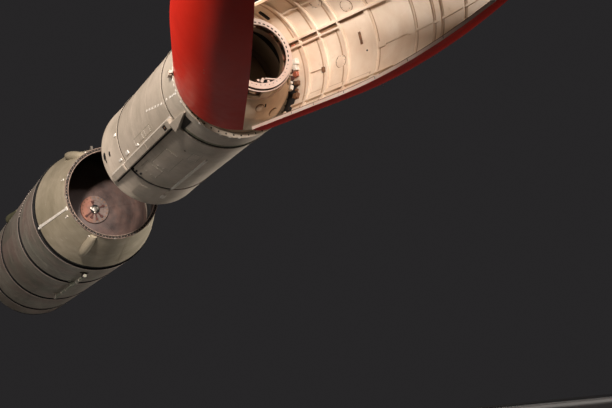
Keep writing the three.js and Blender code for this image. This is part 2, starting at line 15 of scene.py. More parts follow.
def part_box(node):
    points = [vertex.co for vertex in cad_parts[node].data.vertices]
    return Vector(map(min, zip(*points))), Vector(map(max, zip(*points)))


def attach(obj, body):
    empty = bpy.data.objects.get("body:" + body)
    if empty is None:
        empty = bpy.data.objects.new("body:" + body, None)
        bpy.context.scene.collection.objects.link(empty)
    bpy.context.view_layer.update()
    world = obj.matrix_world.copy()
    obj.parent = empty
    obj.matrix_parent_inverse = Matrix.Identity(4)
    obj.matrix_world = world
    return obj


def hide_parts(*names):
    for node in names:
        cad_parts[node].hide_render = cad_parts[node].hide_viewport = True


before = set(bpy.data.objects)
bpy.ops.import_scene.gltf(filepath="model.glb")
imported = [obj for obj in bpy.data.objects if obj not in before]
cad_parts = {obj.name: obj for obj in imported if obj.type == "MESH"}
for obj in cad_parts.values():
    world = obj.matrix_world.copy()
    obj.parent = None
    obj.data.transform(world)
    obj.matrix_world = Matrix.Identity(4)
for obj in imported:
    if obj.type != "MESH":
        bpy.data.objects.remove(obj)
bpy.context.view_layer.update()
random.seed(7)

# Driving dimensions
RIM_LOW, RIM_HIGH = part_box("second_stage_front_rim")
ORIGIN = Vector((RIM_HIGH.x, 0.0, (RIM_LOW.z + RIM_HIGH.z) / 2))
AXIS = Vector((1, 0, 0))
SEAT = 0.0003
SKIN = 0.010
ROUND = 180
SMOOTH_PIECE = 32
SMOOTH_NODE = 35

S2_FRAME_2 = -0.412
S2_FRAME_1 = -2.244
S2_AFT = -2.981
S2_RADIUS = 0.690
S2_FRAME_1_RADIUS = 0.700
S2_AFT_RADIUS = 0.720
FRAME_WIDTH = 0.032
FRAME_RISE = 0.009
S2_RIM_DEPTH = 0.024
DUCT_AZIMUTH = 214
DUCT_TOP = 0.750
S2_STRIP_AZIMUTH = 266

S1_RIM = -5.181
S1_RIM_DEPTH = 0.040
S1_SHOULDER = -6.343
S1_BANDS = (-6.343, -7.681, -9.551, -10.950)
S1_AFT = -11.650
S1_RADIUS = 1.0
S1_RIM_RADIUS = 0.725
BAND_WIDTH = 0.090
BAND_DEPTH = 0.020
LIP_WIDTH = 0.056
LIP_RISE = 0.0055
# width of the black strips of painted shade beside the grooves
SHADE_STRIP = 0.045
TANK_LIP = 0.040
DOME_BASE = S1_SHOULDER - 0.280
DOME_HEIGHT = 0.262
SKIRT_WALL = 0.015
S1_STRIP_AZIMUTH = 199
PIPE_AZIMUTH = 262
COVER_AZIMUTH = 150
BLISTERS = {"top_right": 125.5, "lower_right": 245.5, "left": 5.5}

GALLERY_BASE = 0.500
GALLERY_TOP = 0.672
GALLERY_RADII = (0.425, 0.400)
GALLERY_WALL = 0.016
RING_STATION = 0.706
RING_OUTER = 0.385
RING_INNER = 0.323
RING_FACE = 0.016
RING_NECK = (0.355, 0.373)
RING_HOLES = 44

FAIRING_BASE = 0.008
FAIRING_RADIUS = 0.685
FAIRING_STRAIGHT = 1.200
OGIVE_ARC = 6.300
NOSE_START = 3.250
HALF_GAP = 0.003
RIB_DEPTH = 0.034
FLANGE_DEPTH = 0.032
FLANGE_WIDTH = 0.014
HINGE_RADIUS = 0.725
OPEN = {"left": math.radians(20.8), "right": math.radians(-19.4)}
SIDE = {"left": 1, "right": -1}
MIDDLE = {"left": 0, "right": 180}

# The photograph's camera: where it stands, which way its sides point, and its lens
CAMERA_PLACE = ORIGIN + Vector((9.592, -4.035, -3.762))
CAMERA_RIGHT = Vector((0.4242, 0.9005, -0.0959))
CAMERA_UP = Vector((0.2336, -0.0065, 0.9723))
FOCAL_PIXELS = 1000
PHOTO_WIDTH = 612
SENSOR = 36
VIEW_REACH = 200
FLOOR = CAMERA_PLACE.z - 0.06
FLOOR_REACH = 60


# Materials
def tone(code):
    """A colour given as a hex code, as the linear values that shaders use."""
    parts = [int(code[i:i + 2], 16) / 255 for i in (0, 2, 4)]
    return (*[p / 12.92 if p <= 0.04045 else ((p + 0.055) / 1.055) ** 2.4 for p in parts], 1.0)


class Finish:
    """A node material, built up in layers of colour and bumps."""

    def __init__(self, name, **inputs):
        self.material = bpy.data.materials.new(name)
        self.material.use_nodes = True
        self.tree = self.material.node_tree
        self.shader = self.tree.nodes["Principled BSDF"]
        self.shader.inputs["Coat Roughness"].default_value = 0.1
        for socket, value in inputs.items():
            self.shader.inputs[socket.replace("_", " ")].default_value = value
        self.place = self.node("ShaderNodeTexCoord").outputs["Object"]
        self.bumps = None

    def link(self, source, target):
        """Feeds a socket from another socket, or sets its value."""
        if isinstance(source, bpy.types.NodeSocket):
            self.tree.links.new(source, target)
        else:
            target.default_value = source

    def node(self, kind, inputs=(), **settings):
        """A node with its settings, and its inputs by number or name."""
        made = self.tree.nodes.new(kind)
        for key, value in settings.items():
            setattr(made, key, value)
        for key, value in dict(inputs).items():
            self.link(value, made.inputs[key])
        return made

    def math(self, operation, *values):
        return self.node("ShaderNodeMath", enumerate(values), operation=operation).outputs[0]

    def round_axis(self, along, about):
        """Coordinates (station, angle round the axis, radius), the first two stretched."""
        shift = self.node("ShaderNodeVectorMath", {0: self.place, 1: ORIGIN}, operation="SUBTRACT")
        x, y, z = self.node("ShaderNodeSeparateXYZ", {0: shift.outputs[0]}).outputs
        squares = self.math("ADD", self.math("POWER", y, 2.0), self.math("POWER", z, 2.0))
        angle = self.math("ARCTAN2", z, y)
        return self.node("ShaderNodeCombineXYZ", {
            "X": self.math("MULTIPLY", x, along), "Y": self.math("MULTIPLY", angle, about),
            "Z": self.math("POWER", squares, 0.5)}).outputs[0]

    def noise(self, scale, detail, roughness, stretch=None, distortion=0.0):
        """Noise in space, or round the axis where the two stretches are given."""
        return self.node("ShaderNodeTexNoise", {
            "Vector": self.round_axis(*stretch) if stretch else self.place, "Scale": scale,
            "Detail": detail, "Roughness": roughness, "Distortion": distortion}).outputs["Fac"]

    def ramp(self, source, *stops):
        """Values or colours along a 0 to 1 source: each stop is a position, and a value or code."""
        node = self.node("ShaderNodeValToRGB", {"Fac": source})
        elements = node.color_ramp.elements
        while len(elements) < len(stops):
            elements.new(0.5)
        for element, (position, value) in zip(elements, stops):
            element.position = position
            element.color = tone(value) if isinstance(value, str) else (value, value, value, 1.0)
        return node.outputs["Color"]

    def base(self, source, *stops):
        self.colour = self.ramp(source, *stops)

    def layer(self, source, first, last, share, code):
        """A colour over the others, from none at a source's first value to a share at its last."""
        share = self.ramp(source, (first, 0.0), (last, share))
        inputs = {"Factor": share, "A": self.colour, "B": tone(code)}
        self.colour = self.node("ShaderNodeMix", inputs, data_type="RGBA").outputs["Result"]

    def bump(self, height, strength, distance):
        inputs = {"Strength": strength, "Distance": distance, "Height": height}
        if self.bumps:
            inputs["Normal"] = self.bumps
        self.bumps = self.node("ShaderNodeBump", inputs).outputs["Normal"]

    def done(self, source=None, smooth=0.0, rough=0.0):
        """Closes the material, with a roughness that varies along a source."""
        self.link(self.colour, self.shader.inputs["Base Color"])
        if source:
            self.link(self.ramp(source, (0.3, smooth), (0.7, rough)),
                      self.shader.inputs["Roughness"])
        if self.bumps:
            self.link(self.bumps, self.shader.inputs["Normal"])
        return self.material


def stage_paint(name, light, dark, grime):
    """Grey-cream paint: patchy, with grime that runs round the stage, specks and worn spots."""
    f = Finish(name)
    f.base(f.noise(1.7, 6, 0.6, distortion=0.4), (0.32, dark), (0.66, light))
    f.layer(f.noise(3.0, 8, 0.7, (5.0, 0.9)), 0.50, 0.80, 0.38, grime)
    f.layer(f.noise(95, 3, 0.6), 0.66, 0.74, 0.6, "5d5340")
    f.layer(f.noise(22, 6, 0.75, (1.0, 0.35)), 0.60, 0.72, 0.35, "ded9cb")
    f.bump(f.noise(7, 4, 0.5), 0.25, 0.004)
    f.bump(f.noise(260, 2, 0.5), 0.12, 0.0006)
    return f.done(f.noise(6, 5, 0.6), 0.33, 0.55)


def tank_alloy(name):
    """Bare alloy: streaks that run round the barrel, pink and green stains and a half gloss."""
    f = Finish(name, Metallic=0.12)
    streaks = f.noise(9, 8, 0.72, (9.0, 0.42))
    f.base(streaks, (0.30, "7a756b"), (0.50, "aba496"), (0.72, "d6cec0"))
    f.layer(f.noise(1.1, 5, 0.6, distortion=0.6), 0.42, 0.62, 0.7, "a88c82")
    f.layer(f.noise(0.9, 4, 0.55, (0.8, 0.8)), 0.48, 0.64, 0.5, "7d8172")
    f.layer(f.noise(4.5, 7, 0.7, (1.6, 1.2)), 0.56, 0.70, 0.45, "4c4a42")
    f.bump(streaks, 0.12, 0.002)
    f.bump(f.noise(5, 3, 0.5), 0.22, 0.008)
    return f.done(f.noise(13, 8, 0.7, (7.0, 0.5)), 0.30, 0.52)


def fairing_red(name):
    """Glossy deep red paint with a soft orange peel, fine scratches and a trace of dust."""
    f = Finish(name, Coat_Weight=0.16, Specular_IOR_Level=0.12)
    f.base(f.noise(1.3, 4, 0.5), (0.3, "b92418"), (0.7, "cc2b1b"))
    f.layer(f.noise(2.6, 8, 0.7, (0.6, 2.0)), 0.56, 0.90, 0.06, "b0583c")
    f.layer(f.noise(30, 4, 0.7, (0.3, 3.0)), 0.72, 0.80, 0.2, "c9706a")
    f.bump(f.noise(3.5, 3, 0.5), 0.30, 0.006)
    f.bump(f.noise(70, 2, 0.5), 0.06, 0.001)
    return f.done(f.noise(8, 5, 0.6), 0.28, 0.42)


def inner_cream(name, light, dark):
    """Warm cream primer inside the fairing and on the payload cone, mottled and stained."""
    f = Finish(name)
    f.base(f.noise(1.8, 6, 0.6, distortion=0.5), (0.30, dark), (0.62, light))
    f.layer(f.noise(3.3, 5, 0.6), 0.50, 0.75, 0.35, "dab39c")
    f.layer(f.noise(9, 7, 0.75), 0.60, 0.78, 0.4, "8d7350")
    f.bump(f.noise(5, 4, 0.5), 0.30, 0.005)
    f.bump(f.noise(180, 2, 0.5), 0.15, 0.0006)
    return f.done(f.noise(7, 4, 0.5), 0.42, 0.62)


def plain_metal(name, light, dark, roughness, metallic, grain=26.0):
    """Machined, painted or heat-tinted metal with a fine grain and darker stains."""
    f = Finish(name, Metallic=metallic)
    f.base(f.noise(grain, 6, 0.65), (0.32, dark), (0.66, light))
    f.layer(f.noise(3.1, 6, 0.6), 0.45, 0.75, 0.6, dark)
    f.bump(f.noise(140, 3, 0.6), 0.15, 0.0008)
    return f.done(f.noise(11, 5, 0.6), roughness - 0.08, roughness + 0.14)


def dome_metal(name, light, dark, starboard_light_wash):
    """Stained alloy, with soft rings where sealant and dust have dried, and a painted light wash to
    starboard, the side the light falls on.
    """
    f = Finish(name, Metallic=0.25)
    f.base(f.noise(4.0, 5, 0.6, (2.5, 0.3)), (0.34, dark), (0.66, light))
    f.layer(f.noise(3.4, 7, 0.7, distortion=0.8), 0.46, 0.72, 0.6, "57504d")
    side = f.node("ShaderNodeSeparateXYZ", {0: f.place}).outputs["Y"]
    port = f.math("ADD", f.math("MULTIPLY", side, 3.0), f.noise(5, 4, 0.6))
    # painted light: the starboard side takes the lit colour
    f.layer(f.math("SUBTRACT", 0.60, port), 0.10, 0.50, 0.75, starboard_light_wash)
    f.bump(f.noise(9, 5, 0.6), 0.25, 0.003)
    return f.done(f.noise(8, 6, 0.6), 0.38, 0.6)


def floor_finish(name):
    f = Finish(name, Roughness=0.75)
    f.base(f.noise(0.8, 3, 0.5), (0.3, "c4c2be"), (0.7, "cbc9c5"))
    return f.done()


# Each maker with its finishes: name, then colours, or colours, roughness, metallic and grain
FINISHES = (
    (stage_paint, ("stage_paint", "c6b8a8", "a59a8a", "7d7263"),
     ("bay_paint", "b0a48f", "918772", "6b6150"), ("lip_paint", "e0cfc4", "bda99c", "8a776a"),
     ("olive_paint", "77755a", "5c5b46", "3f3e30")),
    (tank_alloy, ("tank_alloy",)),
    (fairing_red, ("fairing_red",)),
    (inner_cream, ("inner_cream", "e8d7c4", "d2b8a0"), ("cone_cream", "dfcab0", "b39a80"),
     # the next two are painted shade: a brown for recesses and outlines, and a lighter one beside hoops
     # and on the upper flanges
     ("recess", "8d6f55", "6a5039"), ("shade", "b99a7e", "94775d"),
     ("edge_pink", "f2ddd0", "dfbcab")),
    # the last colour of each is the painted light wash to starboard
    (dome_metal, ("dome_metal", "6e5851", "413634", "5b4d49"),
     ("cover_metal", "7d6a62", "574a46", "9c6550")),
    (plain_metal, ("steel", "b9b1a6", "7e766d", 0.34, 0.9),
     ("bright", "e6ddd2", "b3a99d", 0.30, 0.6), ("rim_metal", "b39c8e", "76655b", 0.38, 0.6),
     # near-black for dark joints and holes, and for painted shade
     ("joint_black", "100e0d", "060505", 0.85, 0.0), ("dark_metal", "37322d", "191714", 0.48, 0.5),
     ("nozzle_metal", "a8957c", "5c4a3a", 0.36, 0.92, 12.0), ("brown", "875f42", "5a3f2b", 0.55, 0.0),
     ("white", "f4efe6", "d6cdc0", 0.4, 0.0), ("salmon", "c9765a", "9c5540", 0.5, 0.1),
     ("maroon", "5a2a20", "301511", 0.5, 0.0), ("salmon_brown", "a8705a", "6d4433", 0.5, 0.0),
     ("pipe_paint", "b0b09c", "85877a", 0.42, 0.1)),
    (floor_finish, ("floor_finish",)),
)
FINISH = {values[0]: maker(*values) for maker, *rows in FINISHES for values in rows}


# Geometry
def outward(azimuth):
    turn = math.radians(azimuth)
    return Vector((0.0, math.cos(turn), math.sin(turn)))


def at(station, radius, azimuth):
    turn = math.radians(azimuth)
    return ORIGIN + Vector((station, radius * math.cos(turn), radius * math.sin(turn)))


def tapered(first, last, radius_first, radius_last):
    """A skin whose radius runs evenly from one station to another."""
    return lambda s: radius_first + (s - first) / (last - first) * (radius_last - radius_first)


def first_skin(station):
    if station < S1_SHOULDER:
        return S1_RADIUS
    return tapered(S1_SHOULDER, S1_RIM, S1_RADIUS, S1_RIM_RADIUS)(station)


def second_skin(station):
    if station > S2_FRAME_1:
        return tapered(S2_FRAME_2, S2_FRAME_1, S2_RADIUS, S2_FRAME_1_RADIUS)(station)
    return tapered(S2_FRAME_1, S2_AFT, S2_FRAME_1_RADIUS, S2_AFT_RADIUS)(station)


def fairing_skin(station):
    bend = max(0.0, station - FAIRING_STRAIGHT)
    return FAIRING_RADIUS - bend ** 2 / (2 * OGIVE_ARC)


def fairing_inside(station):
    return fairing_skin(station) - SKIN - SEAT


def lifted(skin, rise):
    return lambda s: skin(s) + rise


def spread(first, last, count):
    return [first + (last - first) * i / (count - 1) for i in range(count)]


def around(count, shift=0):
    return [360 * i / count + shift for i in range(count)]


def wall(first, last, outer, thickness):
    """The closed profile of a tube's wall, under a radius or a skin."""
    ends = (outer(first), outer(last)) if callable(outer) else (outer, outer)
    return [(first, ends[0] - thickness), (last, ends[1] - thickness),
            (last, ends[1]), (first, ends[0])]


class Shape:
    """Points and faces of one piece, with the mark of each face."""

    def __init__(self):
        self.points, self.faces, self.marks = [], [], []

    def grid(self, rows, close_rows=False, close_columns=False, caps=False, mark=0):
        """Quads between neighbouring rows of points, closed on themselves where asked."""
        start, total, count = len(self.points), len(rows), len(rows[0])
        faces = [
            [i * count + j, (i + 1) % total * count + j,
             (i + 1) % total * count + (j + 1) % count, i * count + (j + 1) % count]
            for i in range(total if close_rows else total - 1)
            for j in range(count if close_columns else count - 1)
        ]
        if caps:
            faces.append(list(range(count)))
            faces.append([(total - 1) * count + j for j in reversed(range(count))])
        self.points.extend(p for row in rows for p in row)
        self.faces.extend([start + i for i in face] for face in faces)
        self.marks.extend([mark] * len(faces))

    def turned(self, profile, azimuths=None, mark=0):
        """A profile, closed on itself or ending on the axis, turned about it, or part of the way."""
        rows = [[at(s, r, a) for s, r in profile] for a in azimuths or around(ROUND)]
        whole = azimuths is None
        self.grid(rows, whole, not whole or profile[0][1] > 0, not whole, mark)

    def weld(self, station, radius, half, rise):
        """A low bead round the rocket."""
        self.turned([(station - half, radius - 0.001), (station, radius + rise),
                     (station + half, radius - 0.001)])

    def patch(self, skin, stations, azimuths, high, chamfer=0.0, mark=0, low=-0.001):
        """A plate that follows a skin between two stations and two azimuths."""
        first, last = stations
        steps = max(2, int(abs(last - first) / 0.15) + 2)
        turns = max(2, int(abs(azimuths[1] - azimuths[0]) / 4) + 2)
        inside = spread(first + chamfer, last - chamfer, steps)
        rows = []
        for i, azimuth in enumerate(spread(*azimuths, turns)):
            edge = chamfer if i in (0, turns - 1) else 0.0
            loop = [at(s, skin(s) + low, azimuth) for s in spread(first, last, steps)]
            loop += [at(s, skin(s) + high - edge, azimuth) for s in reversed(inside)]
            rows.append(loop)
        self.grid(rows, close_columns=True, caps=True, mark=mark)

    def bar(self, skin, stations, azimuth, width, high, chamfer=0.002, mark=0, low=-0.001):
        """A patch of a given width in metres, centred on an azimuth."""
        half = math.degrees(width / 2 / max(0.1, skin(stations[0])))
        self.patch(skin, stations, (azimuth - half, azimuth + half), high, chamfer, mark, low)

    def block(self, centre, along, out, sizes, chamfer=0.003, mark=0):
        """A chamfered box: sizes run along, across and out."""
        along = along.normalized()
        out = (out - out.dot(along) * along).normalized()
        across = out.cross(along)
        x, y, z = (s / 2 for s in sizes)
        rows = [
            [centre + along * (i * (x - inset)) + across * (j * (y - inset)) + out * height
             for i, j in ((-1, -1), (1, -1), (1, 1), (-1, 1))]
            for height, inset in ((-z, 0.0), (z - chamfer, 0.0), (z, chamfer))
        ]
        self.grid(rows, close_columns=True, caps=True, mark=mark)

    def pad(self, station, radius, azimuth, sizes, chamfer=0.003, mark=0):
        """A block that lies along the axis on a skin."""
        self.block(at(station, radius, azimuth), AXIS, outward(azimuth), sizes, chamfer, mark)

    def disc(self, centre, normal, radius, height, sides, chamfer=0.2, mark=0, start=0.0):
        """A round or hexagonal boss that stands on a surface."""
        normal = normal.normalized()
        side = normal.orthogonal().normalized()
        other = normal.cross(side)
        rows = [
            [centre + normal * rise + (side * math.cos(a) + other * math.sin(a)) * (radius * share)
             for a in (start + 2 * math.pi * i / sides for i in range(sides))]
            for rise, share in ((-0.15 * height, 1.0), (height * (1 - chamfer), 1.0),
                                (height, 1 - chamfer))
        ]
        self.grid(rows, close_columns=True, caps=True, mark=mark)

    def stud(self, skin, station, azimuth, radius, height, sides=24, chamfer=0.2, mark=0):
        """A disc that stands on a skin."""
        self.disc(at(station, skin(station), azimuth), outward(azimuth), radius, height, sides,
                  chamfer, mark)

    def bolt(self, centre, normal, size, mark):
        self.disc(centre, normal, size * 1.35, size * 0.25, 12, mark=mark)
        self.disc(centre, normal, size, size * 0.95, 6, 0.12, mark, random.random())

    def bolts(self, station, radius, azimuths, size, mark=0, normal=None):
        """A ring of bolts that point along a normal, or outward."""
        for azimuth in azimuths:
            self.bolt(at(station, radius, azimuth), normal or outward(azimuth), size, mark)

    def rivets(self, skin, stations, azimuths, size=0.004, mark=0, lift=0.0):
        """Rivet heads on a skin at every pair of these stations and azimuths."""
        for station in stations:
            for azimuth in azimuths:
                self.stud(lifted(skin, lift), station, azimuth, size, size * 0.55, 7, 0.45, mark)

    def drop(self, outline, station, radius, lean, azimuth):
        """A drop-shaped cover: distances behind a point, and the radii there."""
        along = Vector((-math.cos(lean), 0, 0)) + outward(azimuth) * math.sin(lean)
        across = outward(azimuth + 90)
        out = across.cross(along)
        point = at(station, radius, azimuth)
        rows = [
            [point + along * d + (out * math.cos(a) + across * math.sin(a)) * r for d, r in outline]
            for a in (2 * math.pi * i / 40 for i in range(40))
        ]
        self.grid(rows, close_rows=True)

    def tube(self, path, radius, sides, mark=0):
        """A round tube through a list of points, closed at its ends."""
        rows = []
        for i, point in enumerate(path):
            ahead = (path[min(i + 1, len(path) - 1)] - path[max(i - 1, 0)]).normalized()
            side = side - side.dot(ahead) * ahead if rows else ahead.orthogonal()
            side.normalize()
            other = ahead.cross(side)
            rows.append([
                point + (side * math.cos(a) + other * math.sin(a)) * radius
                for a in (2 * math.pi * k / sides for k in range(sides))
            ])
        self.grid(rows, close_columns=True, caps=True, mark=mark)


def swing(half):
    """The turn that opens a fairing half about its hinge."""
    hinge = ORIGIN + Vector((0.0, SIDE[half] * HINGE_RADIUS, 0.0))
    return Matrix.Translation(hinge) @ Matrix.Rotation(OPEN[half], 4, "Z") @ Matrix.Translation(-hinge)


def round_off(mesh, angle):
    mesh.shade_smooth()
    mesh.set_sharp_from_angle(angle=math.radians(angle))


def piece(shape, name, body, finishes, node=None, turn=None):
    """Makes one object from a shape, sets the body it rides on, and hides the node it stands for."""
    made = bmesh.new()
    corners = [made.verts.new(turn @ p if turn else p) for p in shape.points]
    for face, mark in zip(shape.faces, shape.marks):
        made.faces.new([corners[i] for i in face]).material_index = mark
    bmesh.ops.remove_doubles(made, verts=made.verts, dist=2e-6)
    bmesh.ops.recalc_face_normals(made, faces=made.faces)
    mesh = bpy.data.meshes.new(name)
    made.to_mesh(mesh)
    made.free()
    for finish in finishes.split():
        mesh.materials.append(FINISH[finish])
    round_off(mesh, SMOOTH_PIECE)
    obj = bpy.data.objects.new(name, mesh)
    bpy.context.scene.collection.objects.link(obj)
    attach(obj, body)
    if node:
        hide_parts(node)


# First stage
def first_stage_bay():
    front = S1_RIM - S1_RIM_DEPTH
    back = S1_SHOULDER + BAND_WIDTH / 2
    lip = back + LIP_WIDTH
    shape = Shape()
    shape.turned(wall(back, front, first_skin, SKIN + 0.002))
    shape.turned(wall(front - 0.050, front, lifted(first_skin, 0.002), 0.003))
    # a black strip behind the groove at the bay's back end: painted shade that widens the groove's dark
    # band
    shape.turned(wall(back, back + SHADE_STRIP, lifted(first_skin, 0.0008), 0.004), mark=1)
    shape.rivets(first_skin, (front - 0.035, lip + 0.020), around(120), 0.0045, lift=0.0015)
    for azimuth in (19, 109, 289):
        shape.bar(first_skin, (lip + 0.004, front - 0.052), azimuth, 0.050, 0.0018, 0.001)
        shape.rivets(first_skin, spread(lip + 0.04, front - 0.08, 30), (azimuth - 1.0, azimuth + 1.0),
                     lift=0.0015)
    piece(shape, "first_stage_bay_skin", "first_stage", "bay_paint joint_black",
          "first_stage_forward_bay")

    inside = Shape()
    bay = lifted(first_skin, -SKIN - 0.002)
    for station in (-5.42, -5.72, -6.02):
        web, foot = station + 0.004, station + 0.030
        low, high = bay(station) - 0.049, bay(station) - 0.045
        inside.turned([(station, high + 0.044), (web, high + 0.044), (web, high), (foot, high),
                       (foot, low), (station, low)])
    for azimuth in around(24, 4):
        inside.bar(bay, (back + 0.02, front - 0.02), azimuth, 0.022, 0.001, low=-0.022)
    piece(inside, "first_stage_bay_frames", "first_stage", "dark_metal")


def first_stage_rim():
    """The bolted front ring: two lips with a dark channel between them, and clamps round it."""
    front = S1_RIM
    back = S1_RIM - S1_RIM_DEPTH + SEAT
    outer = S1_RIM_RADIUS + 0.012
    inner = 0.680
    channel = front - 0.007
    shape = Shape()
    shape.turned([
        (back, inner), (front, inner), (front, inner + 0.010), (channel, inner + 0.011),
        (channel, outer - 0.011), (front, outer - 0.010), (front, outer - 0.002),
        (front - 0.002, outer), (front - 0.016, outer), (front - 0.018, outer - 0.002),
        (front - 0.019, S1_RIM_RADIUS - 0.003), (back + 0.004, S1_RIM_RADIUS + 0.004),
        (back, S1_RIM_RADIUS + 0.006),
    ])
    shape.turned(wall(channel - 0.001, channel + 0.0006, outer - 0.0125, 0.032), mark=2)
    shape.bolts(channel, 0.709, around(90, 2), 0.0055, normal=AXIS)
    for azimuth in (137, 144, 159, 163, 186, 216, 243, *range(270, 470, 25)):
        shape.pad(front - 0.014, outer - 0.007, azimuth, (0.028, 0.044, 0.014), mark=1)
        shape.bolts(front - 0.014, outer - 0.003, [azimuth], 0.004, mark=1)
    for azimuth in around(12, 3):
        shape.pad(front - 0.030, outer - 0.006, azimuth, (0.018, 0.060, 0.010))
    piece(shape, "first_stage_rim_ring", "first_stage", "rim_metal bright dark_metal",
          "first_stage_front_rim")


def first_stage_tanks():
    half = BAND_WIDTH / 2
    names = ("forward", "middle", "aft")
    for name, ahead, behind in zip(names, S1_BANDS, S1_BANDS[1:]):
        front, back = ahead - half, behind + half
        shape = Shape()
        outline = [(back, 0.0)] + [(s, S1_RADIUS) for s in spread(back, front, 11)]
        if name == "forward":
            rim = S1_RADIUS - TANK_LIP
            outline += [(front, rim), (DOME_BASE, rim), (DOME_BASE, 0.0)]
        else:
            outline += [(front, 0.0)]
        shape.turned(outline)
        # end, way to the other end, width, height and mark of its lip or of its black strip of painted
        # shade beside the groove
        for end, way, width, rise, mark in (
                (front, -1, LIP_WIDTH, LIP_RISE, 1), (back, 1, SHADE_STRIP, 0.0010, 2)):
            lip = end + way * width
            low, high = S1_RADIUS - 0.002, S1_RADIUS + rise
            shape.turned([
                (end, low), (end, high - 0.0005), (end + way * 0.001, high),
                (lip - way * 0.002, high), (lip, high - 0.0005), (lip, low),
            ], mark=mark)
        for share in (0.36, 0.68):
            shape.weld(back + (front - back) * share, S1_RADIUS, 0.006, 0.0012)
        for azimuth in (57, 177, 297):
            shape.bar(first_skin, (back + LIP_WIDTH, front - LIP_WIDTH), azimuth, 0.012, 0.0012, 0.0006)
        piece(shape, "first_stage_barrel_" + name, "first_stage",
              "tank_alloy lip_paint joint_black", "first_stage_tank_" + name)

    nodes = ("shoulder_joint", "tank_joint_forward", "tank_joint_middle", "tank_joint_aft")
    for node, station in zip(nodes, S1_BANDS):
        shape = Shape()
        floor, top = S1_RADIUS - BAND_DEPTH - 0.016, S1_RADIUS + 0.0052
        near = S1_RADIUS - (0.013 if station == S1_SHOULDER else 0.001)
        first, last, side = station - half + SEAT, station + half - SEAT, 0.003
        shape.turned([
            (first, floor - 0.060), (last, floor - 0.060), (last, near), (last - side, near),
            (last - side, floor), (first + side, floor), (first + side, top), (first, top),
        ])
        for azimuth in around(36, 5):
            shape.block(at(station, floor + 0.003, azimuth), outward(azimuth + 90), outward(azimuth),
                        (0.050, 0.030, 0.008), mark=1)
        if station == S1_BANDS[1]:
            for azimuth in spread(98, 170, 27):
                shape.pad(station, S1_RADIUS + 0.0035, azimuth, (0.150, 0.020, 0.005), 0.001, mark=2)
        piece(shape, "first_stage_" + node + "_ring", "first_stage",
              "joint_black dark_metal lip_paint", "first_stage_" + node)


def first_stage_dome():
    crown = DOME_BASE + SEAT + DOME_HEIGHT
    edge = S1_RADIUS - TANK_LIP - 0.001

    def dome(share):
        lean = share * math.pi / 2
        return DOME_BASE + SEAT + DOME_HEIGHT * math.sin(lean), edge * math.cos(lean)

    shape = Shape()
    shape.turned([(DOME_BASE + SEAT, 0.0)] + [dome(i / 32) for i in range(32)] + [(crown, 0.0)])
    for share in (0.22, 0.52, 0.74):
        (s, r), (s2, r2) = dome(share - 0.008), dome(share + 0.008)
        shape.turned([(s - 0.004, r), (s + 0.002, r + 0.001),
                      (s2 + 0.002, r2 + 0.001), (s2 - 0.004, r2)])
    for azimuth in around(6, 11):
        places = [dome(k / 20) for k in range(1, 17)]
        shape.tube([at(s - 0.001, r, azimuth) for s, r in places], 0.004, 6)
    piece(shape, "first_stage_dome_skin", "first_stage", "dome_metal",
          "first_stage_front_dome")

    boss = Shape()
    outline = ((SEAT, 0.0), (SEAT, 0.235), (0.022, 0.235), (0.030, 0.228), (0.030, 0.150),
               (0.024, 0.146), (0.024, 0.0))
    boss.turned([(crown + rise, radius) for rise, radius in outline])
    boss.bolts(crown + 0.030, 0.205, around(20), 0.009, mark=3, normal=AXIS)
    # azimuth and length of each arm of the spider
    for azimuth, length in (
            (22, 0.150), (105, 0.130), (218, 0.185), (245, 0.150), (278, 0.170), (312, 0.160)):
        for rise, reach, sizes in (
                (0.036, length / 2, (length, 0.022, 0.020)), (0.040, length, (0.036, 0.040, 0.026))):
            boss.block(at(crown + rise, reach, azimuth), outward(azimuth), AXIS, sizes, mark=4)
    # height, azimuth, distance from the axis, radius, thickness, sides, mark
    for rise, azimuth, reach, radius, height, sides, mark in (
            (0.040, 0, 0, 0.075, 0.010, 32, 1), (0.046, 0, 0, 0.042, 0.014, 32, 2),
            (0.048, 160, 0.048, 0.030, 0.010, 20, 2), (0.048, 20, 0.046, 0.026, 0.010, 20, 2),
            (0.048, 270, 0.052, 0.020, 0.010, 20, 2)):
        boss.disc(at(crown + rise, reach, azimuth), AXIS, radius, height, sides, mark=mark)
    piece(boss, "first_stage_dome_cover", "first_stage",
          "cover_metal joint_black steel brown maroon", "first_stage_dome_boss")


